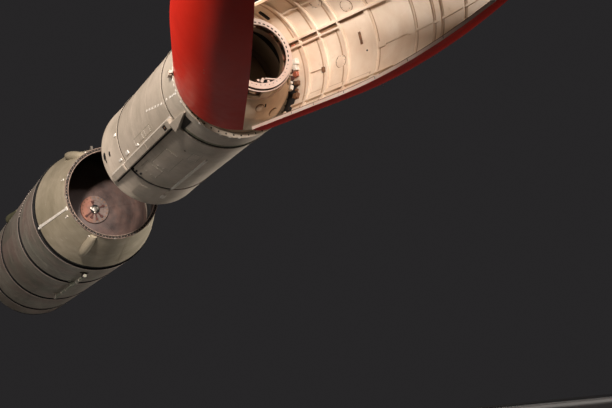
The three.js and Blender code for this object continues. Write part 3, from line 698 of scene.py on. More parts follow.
def first_stage_fittings():
    front = S1_RIM - S1_RIM_DEPTH - 0.004
    back = S1_SHOULDER + BAND_WIDTH + 0.013
    strip = Shape()
    strip.bar(first_skin, (back, front), S1_STRIP_AZIMUTH, 0.044, 0.015, 0.005, low=0.0005)
    for station in (back + 0.025, front - 0.035):
        strip.bar(first_skin, (station - 0.025, station + 0.025), S1_STRIP_AZIMUTH, 0.060, 0.010, 0.003,
                  low=0.0005)
    strip.rivets(first_skin, spread(back + 0.05, front - 0.07, 26), [S1_STRIP_AZIMUTH], lift=0.015)
    piece(strip, "first_stage_strip_cover", "first_stage", "white", "first_stage_strip")

    studs = Shape()
    for azimuth, station in (
            (207, -5.33), (163, -5.30), (241, -5.31), (118, -5.32), (20, -5.33), (320, -5.3)):
        studs.stud(first_skin, station, azimuth, 0.016, 0.012, 20)
        studs.bar(first_skin, (station - 0.085, station - 0.02), azimuth, 0.014, 0.006, low=0.0)
    oval = S1_SHOULDER + BAND_WIDTH / 2 + 0.028
    turn = S1_STRIP_AZIMUTH + 0.6
    studs.block(at(oval, first_skin(oval) + 0.010, turn), outward(turn + 90), outward(turn),
                (0.030, 0.040, 0.012), 0.004)
    piece(studs, "first_stage_bay_studs", "first_stage", "white")

    azimuth, centre, radius = PIPE_AZIMUTH, 1.065, 0.025
    pipe = Shape()
    pipe.tube([at(s, centre, azimuth) for s in spread(-9.020, -6.600, 26)], radius, 20)
    for station in (-8.985, -8.40, -8.06, -7.22, -7.02, -6.64):
        ends = [at(station + way * 0.028, centre, azimuth) for way in (-1, 1)]
        pipe.tube(ends, radius + 0.004, 20, mark=2)
    low, high = S1_RADIUS + SEAT, centre + 0.022
    for station, mark in ((-8.90, 2), (-7.59, 0), (-6.70, 3)):
        pipe.pad(station, (low + high) / 2, azimuth, (0.066, 0.066, high - low), 0.008, mark)
        for turn in (azimuth - 2.9, azimuth + 2.9):
            spot = at(station, S1_RADIUS + 0.006, turn)
            pipe.block(spot, AXIS, outward(turn), (0.066, 0.034, 0.010), mark=mark)
            pipe.bolt(spot + outward(azimuth) * 0.005, outward(turn), 0.007, mark=2)
    piece(pipe, "first_stage_pipe", "first_stage", "pipe_paint joint_black bright dark_metal",
          "first_stage_external_pipe")

    outline = [
        (0.0, 0.0), (0.0, 0.014), (0.01, 0.018), (0.15, 0.030), (0.30, 0.046), (0.45, 0.064),
        (0.60, 0.081), (0.68, 0.0875), (0.73, 0.089), (0.76, 0.084), (0.785, 0.068), (0.797, 0.040),
        (0.800, 0.0),
    ]
    cover = Shape()
    cover.drop(outline, -8.550, S1_RADIUS - 0.006, 0.0, COVER_AZIMUTH)
    for way in (-1, 1):
        for station, reach in zip(spread(-8.80, -9.28, 9), spread(0.052, 0.100, 9)):
            cover.bolts(station, S1_RADIUS, [COVER_AZIMUTH + way * math.degrees(reach)], 0.006, mark=1)
    piece(cover, "first_stage_side_fairing", "first_stage", "olive_paint steel",
          "first_stage_side_cover")


def blister_skin(name, azimuth):
    """A drop-shaped cover that rises from the rim to a blunt tail, with a riveted foot."""
    front = S1_RIM - S1_RIM_DEPTH - 0.004
    slope = math.atan2(S1_RADIUS - S1_RIM_RADIUS, S1_RIM - S1_SHOULDER) + math.radians(5)
    outline = [
        (0.012, 0.0), (0.012, 0.046), (0.018, 0.050), (0.12, 0.061), (0.24, 0.070), (0.36, 0.0735),
        (0.46, 0.071), (0.54, 0.063), (0.60, 0.051), (0.64, 0.036), (0.66, 0.019), (0.665, 0.0),
    ]
    shape = Shape()
    shape.drop(outline, front, first_skin(front) - 0.008, slope, azimuth)
    for way in (-1, 1):
        shape.bar(first_skin, (front - 0.60, front - 0.01), azimuth + way * 5.6, 0.026, 0.0025, 0.001)
        heads = spread(front - 0.58, front - 0.03, 16)
        shape.rivets(first_skin, heads, [azimuth + way * 5.8], lift=0.0025)
    piece(shape, "blister_cover_" + name, "first_stage", "bay_paint", "blister_" + name)


def first_stage_tail():
    front = S1_BANDS[3] - BAND_WIDTH / 2
    shape = Shape()
    shape.turned(wall(S1_AFT, front, S1_RADIUS, SKIRT_WALL))
    shape.turned(wall(front - 0.030, front, S1_RADIUS + LIP_RISE, 0.0075), mark=2)
    for azimuth in around(36, 4):
        shape.bar(first_skin, (S1_AFT + 0.05, front - 0.05), azimuth, 0.018, 0.005)
    for azimuth in (29, 119, 209, 299):
        shape.patch(first_skin, (-11.42, -11.10), (azimuth - 7.4, azimuth + 7.4), 0.0055, 0.002, mark=1)
        shape.rivets(first_skin, (-11.40, -11.12), spread(azimuth - 6.8, azimuth + 6.8, 9), mark=1,
                     lift=0.0035)
    shape.rivets(first_skin, (S1_AFT + 0.02, front - 0.04), around(120))
    piece(shape, "first_stage_skirt_skin", "first_stage", "tank_alloy steel lip_paint",
          "first_stage_engine_skirt")

    ring = Shape()
    ring.turned(wall(S1_AFT - 0.030, S1_AFT - SEAT, 1.006, 0.046))
    ring.bolts(S1_AFT - 0.030, 0.984, around(72), 0.008, mark=1, normal=-AXIS)
    piece(ring, "first_stage_stand_ring", "first_stage", "dark_metal steel",
          "first_stage_aft_ring")


# Second stage
def second_stage_skins():
    half = FRAME_WIDTH / 2
    tank = Shape()
    back, front = S2_FRAME_1 + half, S2_FRAME_2 - half
    tank.turned([(back, 0.0)] + [(s, second_skin(s)) for s in spread(back, front, 12)] + [(front, 0.0)])
    for station in (-1.62, -1.02):
        tank.weld(station, second_skin(station), 0.005, 0.0010)
    for azimuth in (82, 322):
        tank.bar(second_skin, (back + 0.02, front - 0.02), azimuth, 0.040, 0.0020, 0.001)
        tank.rivets(second_skin, spread(back + 0.05, front - 0.05, 44), (azimuth - 1.0, azimuth + 1.0),
                    0.0045, 1, 0.002)
    # covers let into the skin: first station, last station, first azimuth, last azimuth
    for first, last, low, high in (
            (-1.62, -1.06, 228, 247), (-1.98, -1.68, 224, 243), (-1.02, -0.80, 250, 259),
            (-1.72, -1.36, 199.5, 206), (-1.30, -1.08, 199.5, 206)):
        tank.patch(second_skin, (first - 0.004, last + 0.004), (low - 0.35, high + 0.35), 0.0009,
                   mark=2)
        tank.patch(second_skin, (first, last), (low, high), 0.0016)
        heads = spread(low + 0.8, high - 0.8, 4)
        tank.rivets(second_skin, (first + 0.02, last - 0.02), heads, 0.005, 1, 0.0018)
    for station, azimuth in zip(spread(-1.0, -0.43, 7), spread(187.5, 195.5, 7)):
        tank.bar(second_skin, (station - 0.03, station + 0.02), azimuth, 0.022, 0.003, 0.001, mark=1)
    # painted shade: an olive band low on the stage just aft of the forward frame, where the frame's
    # shadow falls
    tank.patch(second_skin, (front - 0.020, front), (222, 300), 0.0012, mark=2)
    piece(tank, "second_stage_tank_skin", "second_stage",
          "stage_paint white olive_paint", "second_stage_tank")

    for name, station in (("forward", S2_FRAME_2), ("aft", S2_FRAME_1)):
        shape = Shape()
        outer = second_skin(station) + FRAME_RISE
        floor, lip = outer - 0.008, 0.009
        first, last = station - half + SEAT, station + half - SEAT
        shape.turned([
            (first, outer - 0.070), (last, outer - 0.070), (last, outer), (last - lip, outer),
            (last - lip, floor), (first + lip, floor), (first + lip, outer), (first, outer),
        ])
        # painted shade: the channel's floor and the forward flank are brown, where the frame's shadow
        # falls
        shape.turned(wall(first + lip, last - lip, floor + 0.0008, 0.002), mark=2)
        shape.turned(wall(last - 0.0006, last, outer - 0.0008, 0.010), mark=2)
        shape.bolts(station, floor, around(48, 2), 0.005, mark=1)
        piece(shape, "second_stage_hoop_" + name, "second_stage",
              "stage_paint steel brown", "second_stage_frame_" + name)

    aft = Shape()
    first, last = S2_AFT, S2_FRAME_1 - half
    aft.turned([
        (first, S2_AFT_RADIUS - SKIN), (last, second_skin(last) - SKIN), (last, second_skin(last)),
        (first + 0.03, second_skin(first + 0.03)), (first + 0.028, S2_AFT_RADIUS),
        (first, S2_AFT_RADIUS),
    ])
    aft.rivets(second_skin, (first + 0.045, first + 0.075, last - 0.03), around(120))
    # dark openings: station, azimuth, size
    for station, azimuth, size in ((-2.87, 188.5, 0.044), (-2.66, 190.5, 0.030), (-2.85, 194.5, 0.020)):
        aft.stud(second_skin, station, azimuth, size * 1.2, 0.003, mark=1)
        aft.stud(lifted(second_skin, 0.001), station, azimuth, size, 0.004, mark=2)
    aft.patch(second_skin, (-2.72, -2.40), (104, 124), 0.002, 0.001)
    aft.patch(second_skin, (-2.80, -2.42), (236, 256), 0.002, 0.001)
    piece(aft, "second_stage_aft_skin", "second_stage", "stage_paint steel joint_black",
          "second_stage_aft_skirt")

    fore = Shape()
    first, last = S2_FRAME_2 + half, -S2_RIM_DEPTH
    skin = tapered(first, last, S2_RADIUS, S2_RADIUS - 0.002)
    fore.turned(wall(first, last, skin, SKIN))
    # painted shade low on the stage just ahead of the forward frame: an olive band, black nearest the
    # frame
    fore.patch(skin, (first, first + 0.070), (224, 300), 0.0008, mark=2)
    fore.patch(skin, (first, first + 0.026), (222, 300), 0.0014, mark=3)
    fore.rivets(skin, (first + 0.06, last - 0.02), around(90))
    for azimuth in (42, 312):
        fore.patch(skin, (-0.33, -0.07), (azimuth - 9, azimuth + 9), 0.003, 0.0015)
        fore.rivets(skin, (-0.315, -0.085), spread(azimuth - 8, azimuth + 8, 7), 0.005, 1, 0.003)
    fore.patch(skin, (-0.140, -0.080), (177.6, 179.4), 0.0022, 0.0006, mark=3)
    # white clips: station, azimuth, length, width
    for station, azimuth, length, width in (
            (-0.23, 196, 0.05, 0.020), (-0.14, 196.8, 0.08, 0.016), (-0.06, 197.5, 0.05, 0.022),
            (-0.34, 195, 0.04, 0.020)):
        ends = (station - length / 2, station + length / 2)
        fore.bar(skin, ends, azimuth, width, 0.004, 0.001, mark=1)
    piece(fore, "second_stage_fore_skin", "second_stage",
          "stage_paint white olive_paint joint_black", "second_stage_front_skirt")

    rim = Shape()
    outer = S2_RADIUS + 0.006
    back = -S2_RIM_DEPTH + SEAT
    rim.turned([(back, outer - 0.090), (-0.001, outer - 0.090), (-0.001, outer - 0.002),
                (-0.003, outer), (back, outer)])
    # the front face ring is dark: painted shadow of the payload ring and cone
    rim.turned(wall(-0.002, 0.0, 0.640, 0.033), mark=1)
    rim.bolts(-0.001, 0.668, around(48, 3), 0.0075, mark=1, normal=AXIS)
    for azimuth in (186, 191, 196, 207, 160, 232, 253, 262, 271):
        rim.pad(-0.012, outer - 0.001, azimuth, (0.022, 0.030, 0.010), mark=2)
    piece(rim, "second_stage_rim_ring", "second_stage", "stage_paint dark_metal white",
          "second_stage_front_rim")


def second_stage_fittings():
    azimuth, skin = DUCT_AZIMUTH, second_skin
    half = FRAME_WIDTH / 2 + 0.001
    duct = Shape()
    for first, last in ((-2.848, S2_FRAME_1 - half), (S2_FRAME_1 + half, -1.34), (-1.336, -0.442)):
        middle = (first + last) / 2
        low = skin(middle) - 0.004
        duct.pad(middle, (low + DUCT_TOP) / 2, azimuth, (last - first, 0.094, DUCT_TOP - low), 0.006)
        # painted shadow in black along the duct's lower side, and a ledge beside the upper one painted
        # white as a highlight
        reach = math.degrees(0.056 / low)
        duct.bar(skin, (first, last), azimuth + reach, 0.020, 0.0035, 0.001, mark=1)
        duct.bar(skin, (first, last), azimuth - reach, 0.020, 0.008, 0.003, mark=3)
    for station in (-2.30, -2.19, -1.338, -0.50):
        duct.pad(station, DUCT_TOP - 0.012, azimuth, (0.022, 0.098, 0.028))
    for i in range(26):
        for way in (-1, 1):
            spot = at(-2.80 + i * 0.093, DUCT_TOP, azimuth) + outward(azimuth + 90) * 0.038 * way
            duct.bolt(spot, outward(azimuth), 0.0035, mark=2)
    duct.pad(-0.605, DUCT_TOP - 0.001, azimuth, (0.088, 0.058, 0.005), 0.001, mark=1)
    duct.pad(-0.605, DUCT_TOP + 0.001, azimuth, (0.032, 0.020, 0.005), 0.001, mark=4)
    piece(duct, "second_stage_cable_duct", "second_stage",
          "stage_paint joint_black steel white brown", "second_stage_duct")

    wedge = Shape()
    turn = azimuth + 5
    rows = []
    # station, radius of the top, distance of the upper and the lower edge from the middle
    for station, high, upper, lower in (
            (-0.430, 0.762, -0.058, 0.058), (-0.300, 0.748, -0.057, 0.028),
            (-0.160, 0.732, -0.055, -0.008), (-0.062, 0.712, -0.052, -0.034)):
        top, shoulder = high - 0.684, high - 0.690
        loop = ((upper, 0.0), (lower, 0.0), (lower, shoulder), (lower - 0.004, top),
                (upper + 0.004, top), (upper, shoulder))
        rows.append([at(station, 0.684, turn) + outward(turn + 90) * across + outward(turn) * rise
                     for across, rise in loop])
    wedge.grid(rows, close_columns=True, caps=True)
    # dark patches beside the wedge: painted shadow
    for first, last, reach in ((-0.426, -0.330, 4.2), (-0.330, -0.220, 2.4), (-0.220, -0.120, 0.6)):
        azimuths = (turn + reach - 2.2, turn + 7.2)
        wedge.patch(lambda s: S2_RADIUS, (first, last), azimuths, 0.0025, mark=1, low=-0.002)
    piece(wedge, "second_stage_duct_nose", "second_stage", "stage_paint dark_metal",
          "second_stage_duct_wedge")

    strip = Shape()
    # the two bars marked white are painted highlight on a strip low on the stage, where the lamps don't
    # reach
    # first station, last station, width, height, chamfer, mark
    for first, last, width, high, chamfer, mark in (
            (-2.20, -0.885, 0.032, 0.024, 0.005, 1), (-2.62, -2.485, 0.056, 0.022, 0.006, 1),
            (-2.485, -2.29, 0.030, 0.016, 0.005, 0)):
        strip.bar(skin, (first, last), S2_STRIP_AZIMUTH, width, high, chamfer, mark, 0.0005)
    piece(strip, "second_stage_strip_cover", "second_stage", "stage_paint white",
          "second_stage_strip")

    small = Shape()
    # white clips beside the duct: station, azimuth, length, width
    for station, turn, length, width in (
            (-2.35, 178, 0.07, 0.034), (-2.06, 204, 0.11, 0.044), (-2.37, 204.5, 0.09, 0.026),
            (-1.64, 206, 0.06, 0.026)):
        ends = (station - length / 2, station + length / 2)
        small.bar(skin, ends, turn, width, 0.012, 0.003, low=0.0)
    for station, turn, size in ((-2.18, 220, 0.016), (-2.15, 224, 0.012), (-2.12, 229, 0.014)):
        small.stud(skin, station, turn, size, 0.020, 20, mark=1)
    # a cable along the aft frame, from the duct's brackets to the lower strip
    line = S2_FRAME_1 + FRAME_WIDTH / 2 + 0.008
    for end, size in ((266, 0.006), (246, 0.009), (232, 0.012)):
        path = [at(line, skin(line) + size * 0.6, a) for a in spread(218, end, 25)]
        small.tube(path, size, 8, mark=1)
    small.disc(at(-0.825, skin(-0.8), 242), outward(242), 0.012, 0.003, 20, mark=1)
    piece(small, "second_stage_small_fittings", "second_stage", "white joint_black")


# Payload support
def payload_cone():
    line = [(0.012, 0.622), (0.06, 0.618), (0.12, 0.610), (0.18, 0.598), (0.24, 0.577), (0.30, 0.551),
            (0.36, 0.522), (0.43, 0.476), (0.500, 0.425)]

    def skin(station):
        for (s0, r0), (s1, r1) in zip(line, line[1:]):
            if station <= s1:
                return r0 + (r1 - r0) * (station - s0) / (s1 - s0)
        return line[-1][1]

    def normal(station, azimuth):
        return outward(azimuth) + AXIS * (skin(station - 0.02) - skin(station + 0.02)) / 0.04

    cone = Shape()
    cone.turned([(SEAT, 0.636), (0.010, 0.636), (0.012, 0.634)] + line + [
        (0.500, 0.408), (0.352, 0.506), (0.26, 0.552), (0.174, 0.582), (SEAT, 0.606)])
    # a black sheet just inside the cone's inner wall: painted shade inside the cone
    painted_shade_inside = [(0.499, 0.4078), (0.352, 0.5058), (0.26, 0.5518), (0.174, 0.5818), (0.002, 0.6058)]
    cone.turned(painted_shade_inside + [(s, r - 0.001) for s, r in reversed(painted_shade_inside)], mark=1)
    for shift in around(6):
        # azimuth, station and radius of each round cover
        for turn, station, radius in ((282, 0.400, 0.045), (303, 0.270, 0.048)):
            out = normal(station, turn + shift)
            spot = at(station, skin(station), turn + shift)
            # a brown ring under each cover: painted shadow round it
            cone.disc(spot, out, radius + 0.007, 0.003, 32, mark=2)
            cone.disc(spot, out, radius, 0.016, 32, 0.35)
            cone.disc(spot + out.normalized() * 0.015, out, radius * 0.55, 0.003, 32)
        turn = 290 + shift
        cone.block(at(0.412, skin(0.412), turn), AXIS - outward(turn) * 0.69, normal(0.41, turn),
                   (0.044, 0.017, 0.004), 0.001, mark=1)
    cone.rivets(skin, (0.035, 0.10), around(72), 0.005)
    cone.rivets(skin, [0.475], around(60), 0.005)
    # connectors that stand on the cone beside the fairing's left base: azimuth, sizes, mark
    for azimuth, sizes, mark in (
            (343, (0.075, 0.050, 0.040), 3), (349, (0.050, 0.024, 0.030), 3),
            (354, (0.060, 0.040, 0.044), 4), (2, (0.050, 0.036, 0.040), 4)):
        for turn in (azimuth, azimuth + 180):
            cone.pad(0.22, skin(0.22) + sizes[2] / 2 - 0.004, turn, sizes, 0.004, mark)
    piece(cone, "payload_cone_skin", "second_stage",
          "cone_cream joint_black brown white maroon", "payload_cone")


def payload_gallery():
    skin = tapered(GALLERY_BASE, GALLERY_TOP, *GALLERY_RADII)
    base = GALLERY_BASE + SEAT
    sill, head = 0.555, 0.655
    top, neck = 0.664, GALLERY_TOP - 0.0004
    gallery = Shape()
    gallery.turned(wall(base, sill, skin, GALLERY_WALL))
    under, rim, edge, outer = [r for _, r in wall(head, GALLERY_TOP, skin, GALLERY_WALL)]
    lip = GALLERY_TOP - 0.008
    gallery.turned([(head, under), (lip, rim), (lip, edge), (head, outer)])
    # the neck under the ring is black: painted shade in the undercut
    gallery.turned([
        (0.660, RING_NECK[0]), (GALLERY_TOP, RING_NECK[0]), (GALLERY_TOP, 0.392), (top, 0.390),
    ], mark=4)
    gallery.turned([(top, 0.389), (neck, 0.391), (neck, 0.406), (top, 0.408)], mark=2)
    gallery.turned(wall(base, base + 0.007, 0.436, 0.020), mark=2)
    for azimuth in around(8, 16.5):
        gallery.patch(skin, (sill, head), (azimuth - 10.9, azimuth + 10.9), 0.0, low=-GALLERY_WALL)
        for turn in (azimuth - 10.0, azimuth + 10.0):
            gallery.bar(skin, (base + 0.02, head + 0.002), turn, 0.010, 0.006, low=0.0)
        gallery.rivets(skin, (0.575, 0.605, 0.635), (azimuth - 7, azimuth + 7))
    # a tray inside, seen through the windows, its walls painted shade brown for the dark inside
    gallery.turned(wall(0.520, 0.524, 0.412, 0.082), mark=1)
    gallery.turned(wall(0.520, 0.600, 0.334, 0.004), mark=1)
    for azimuth in around(16, 6):
        spot = at(0.552, 0.362, azimuth)
        gallery.block(spot, outward(azimuth + 90), AXIS, (0.060, 0.050, 0.055), 0.006, 3)
    piece(gallery, "payload_gallery_rings", "second_stage",
          "cone_cream recess edge_pink salmon_brown joint_black", "payload_gallery")


def payload_ring():
    face = RING_STATION
    back = face - RING_FACE
    ring = Shape()
    # the ring's neck is black: painted shade under the ring's face
    ring.turned(wall(GALLERY_TOP + SEAT, back, RING_NECK[1], RING_NECK[1] - RING_NECK[0]), mark=1)
    ring.turned([
        (back, RING_INNER), (face - 0.001, RING_INNER), (face, RING_INNER + 0.001),
        (face, RING_OUTER - 0.002), (face - 0.002, RING_OUTER), (back, RING_OUTER),
    ])
    for azimuth in around(RING_HOLES):
        length = 0.012 if 190 < azimuth < 345 else 0.026
        sizes = (length, length / 2, 0.0014)
        ring.block(at(face, 0.345, azimuth), outward(azimuth + 90), AXIS, sizes, 0.0, 1)
    # the ledge across the foot of the ring, with its clips
    foot = at(face, 0.0, 0)
    port, up = outward(0), Vector((0, 0, 1))
    ring.block(foot + Vector((-0.032, 0.150, -0.262)), port, up, (0.170, 0.034, 0.014), 0.002)
    ring.block(foot + Vector((-0.044, 0.110, -0.295)), port, AXIS, (0.200, 0.060, 0.006), 0.001, 1)
    for across, down, size in (
            (0.045, 0.268, 0.016), (0.030, 0.290, 0.018), (0.105, 0.287, 0.015),
            (-0.01, 0.284, 0.014)):
        ring.disc(foot + Vector((-0.038, across, -down)), AXIS, size, 0.014, 20)
    piece(ring, "payload_ring_face", "second_stage", "edge_pink joint_black",
          "payload_ring")


def second_stage_dome():
    base = S2_FRAME_2 - FRAME_WIDTH / 2 + SEAT
    height, edge = 0.170, 0.620
    dome = Shape()
    dome.turned([(base, 0.0)] + [
        (base + height * math.sin(t), edge * math.cos(t)) for t in spread(0.0, math.pi / 2, 20)[:-1]
    ] + [(base + height, 0.0)])
    for azimuth in around(8):
        dome.tube([at(base + 0.002 + height * math.sin(t), edge * math.cos(t), azimuth)
                   for t in spread(0.1, 1.3, 12)], 0.006, 6)
    dome.disc(at(base + 0.168, 0, 0), AXIS, 0.10, 0.02, 36, mark=1)
    piece(dome, "second_stage_dome_skin", "second_stage", "cone_cream steel",
          "second_stage_front_dome")


# Fairing
def fairing_profile(inset):
    """Stations and radii from base to tip, with a nose cap tangent to the ogive, under an inset."""
    lean = math.atan((NOSE_START - FAIRING_STRAIGHT) / OGIVE_ARC)
    cap = fairing_skin(NOSE_START) / math.cos(lean)
    centre = NOSE_START - cap * math.sin(lean)
    stations = [FAIRING_BASE, 0.3, 0.6, 0.9] + spread(FAIRING_STRAIGHT, NOSE_START, 22)
    points = [(s, fairing_skin(s) - inset) for s in stations]
    points += [(centre + (cap - inset) * math.sin(t), (cap - inset) * math.cos(t))
               for t in spread(lean, math.pi / 2, 11)[1:]]
    points[-1] = (points[-1][0], 0.0)
    return points


def fairing_piece(shape, half, name, finishes, node=None):
    body = "fairing_" + half
    piece(shape, body + name, body, finishes, node and body + node, swing(half))


def fairing_shell(half):
    side, middle = SIDE[half], MIDDLE[half]
    azimuths = spread(middle - 90.0, middle + 90.0, 73)

    def skin(inset):
        """A closed half's rows of points, kept on its own side of the parting plane."""
        rows = [[at(s, r, a) for s, r in fairing_profile(inset)] for a in azimuths]
        return [[Vector((p.x, side * max(HALF_GAP, side * p.y), p.z)) for p in row] for row in rows]

    shape = Shape()
    outside, inside = skin(0.0), skin(SKIN)
    shape.grid(outside)
    shape.grid(inside, mark=1)
    for end in (0, -1):
        shape.grid([outside[end], inside[end]], mark=2)
    shape.grid([[row[0] for row in outside], [row[0] for row in inside]], mark=1)
    fairing_piece(shape, half, "_skin", "fairing_red inner_cream edge_pink", "_shell")


def fairing_ribs(half):
    shape = Shape()
    inner, middle, way = fairing_inside, MIDDLE[half], SIDE[half]
    azimuths = spread(middle - 88.4, middle + 88.4, 61)
    heads = spread(middle - 84, middle + 84, 49)

    def hoop(station, *steps):
        """A hoop whose section is given by steps along the axis and in from the skin, mirrored."""
        loop = [*steps, *[(-along, rise) for along, rise in reversed(steps)]]
        shape.turned([(station + along, inner(station + along) - rise) for along, rise in loop],
                     azimuths)

    def shade(first, last):
        low = [(first, inner(first)), (last, inner(last))]
        shape.turned(low + [(s, r - 0.0008) for s, r in reversed(low)], azimuths, mark=1)

    for station in (0.310, 0.590, 0.880):
        web, cap, edge = 0.0035, 0.010, RIB_DEPTH - 0.0035
        hoop(station, (0.025, 0.0), (0.025, 0.002), (web, 0.003), (web, edge), (cap, edge),
             (cap, RIB_DEPTH))
        shade(station - 0.088, station - 0.068)
        shape.rivets(inner, (station - 0.016, station + 0.016), heads, lift=-0.004)
    # station, foot, top, depth
    for station, foot, top, depth in (
            (0.040, 0.056, 0.040, RIB_DEPTH), (1.260, 0.090, 0.058, 0.018),
            (1.780, 0.090, 0.058, 0.016), (2.050, 0.040, 0.016, 0.016), (2.150, 0.060, 0.038, 0.018),
            (2.470, 0.050, 0.028, 0.018), (2.850, 0.050, 0.028, 0.018)):
        hoop(station, (foot / 2, 0.0), (foot / 2, 0.002), (top / 2, 0.003), (top / 2 - 0.003, depth))
        if station > 0.1:
            shade(station + foot / 2 + 0.002, station + foot / 2 + 0.014)
            reach = (foot + top) / 4
            shape.rivets(inner, (station - reach, station + reach), heads, lift=-0.004)
    # longerons: azimuth from the half's middle, first station, last station, cap's width, depth
    for turn, first, last, cap, depth in (
            (34, 0.06, 1.56, 0.022, RIB_DEPTH), (28, 0.06, 0.88, 0.022, RIB_DEPTH),
            (-34, 0.06, 1.56, 0.022, RIB_DEPTH), (62, 0.30, 2.47, 0.016, 0.016),
            (-62, 0.30, 1.26, 0.016, 0.016)):
        for width, low, high in (
                (0.046, -0.0025, 0.0), (0.007, -depth, 0.0), (cap, -depth, 0.0035 - depth)):
            shape.bar(inner, (first, last), middle + way * turn, width, high, 0.0, low=low)
    # a slim stringer that drifts off the middle towards the nose: station, azimuth
    slope = [(1.28, -2.0), (1.70, -3.8), (2.05, -5.4), (2.46, -7.0), (2.84, -8.0)]
    for (s0, a0), (s1, a1) in zip(slope, slope[1:]):
        shape.bar(inner, (s0, s1), middle + way * (a0 + a1) / 2, 0.026, 0.0, 0.003, low=-0.010)
    shape.bar(inner, (1.30, 1.40), middle - way * 2.6, 0.070, 0.0, 0.004, low=-0.014)
    # doublers near the lower edge, each in a painted shade outline: first station, last station,
    # azimuth
    for first, last, turn in ((0.25, 0.51, -28.0), (0.57, 0.82, -29.5), (0.93, 1.20, -31.0)):
        azimuth = middle + way * turn
        shape.bar(inner, (first - 0.008, last + 0.008), azimuth, 0.112, 0.0, 0.0, 1, -0.0022)
        shape.bar(inner, (first, last), azimuth, 0.090, 0.0, 0.004, low=-0.006)
        shape.bar(inner, (first + 0.012, last - 0.012), azimuth, 0.064, -0.004, 0.003, low=-0.010)
    fairing_piece(shape, half, "_frames", "inner_cream shade", "_ribs")

    # painted shade: a brown floor between the two close longerons, where they shade it: first station,
    # last station, azimuth, width
    recess = Shape()
    for first, last, turn, width in (
            (0.080, 0.298, 31, 0.052), (0.322, 0.578, 31, 0.052), (0.602, 0.868, 31, 0.052),
            (0.892, 1.228, 31.6, 0.036)):
        recess.bar(inner, (first, last), middle + way * turn, width, 0.0, 0.0, low=-0.0045)
    fairing_piece(recess, half, "_trough", "recess")


def fairing_flange(half):
    """Two edge strips along the parting plane: at the lower edge a pale face, and a brown lip of
    painted shade set back inside it; along the upper edge both strips are painted shade.
    """
    shape = Shape()
    side = SIDE[half]
    far = HALF_GAP + FLANGE_WIDTH - SEAT
    face = SKIN + 0.024

    def spot(s, r, off, way):
        return ORIGIN + Vector((s, side * off, way * math.sqrt(max(r * r - off * off, 0.0))))

    facing = Vector((0, -side, 0))
    for way in (-1, 1):
        # outer inset, inner inset, nearest distance to the parting plane, mark at the lower edge
        for first, last, near, mark in (
                (SKIN + SEAT, face, HALF_GAP, 0),
                (face + SEAT, SKIN + FLANGE_DEPTH, HALF_GAP + 0.003, 1)):
            ends = zip(fairing_profile(first), fairing_profile(last))
            loops = [[spot(*outer, near, way), spot(*outer, far, way),
                      spot(*inner, far, way), spot(*inner, near, way)] for outer, inner in ends]
            shape.grid(loops, close_columns=True, caps=True, mark=mark if way < 0 else 3)
        for s in (0.60, 0.91, 1.32, 1.72, 2.12, 2.54):
            middle = spot(s, fairing_skin(s) - SKIN - 0.012, HALF_GAP, way)
            shape.block(middle, Vector((0, 0, way)), facing, (0.026, 0.005, 0.0020), 0.0, mark=2)
        clamp = spot(1.74, fairing_skin(1.74) - SKIN - 0.020, HALF_GAP + 0.004, way)
        shape.block(clamp, AXIS, facing, (0.060, 0.026, 0.010))
    fairing_piece(shape, half, "_edge", "edge_pink recess joint_black shade", "_flange")


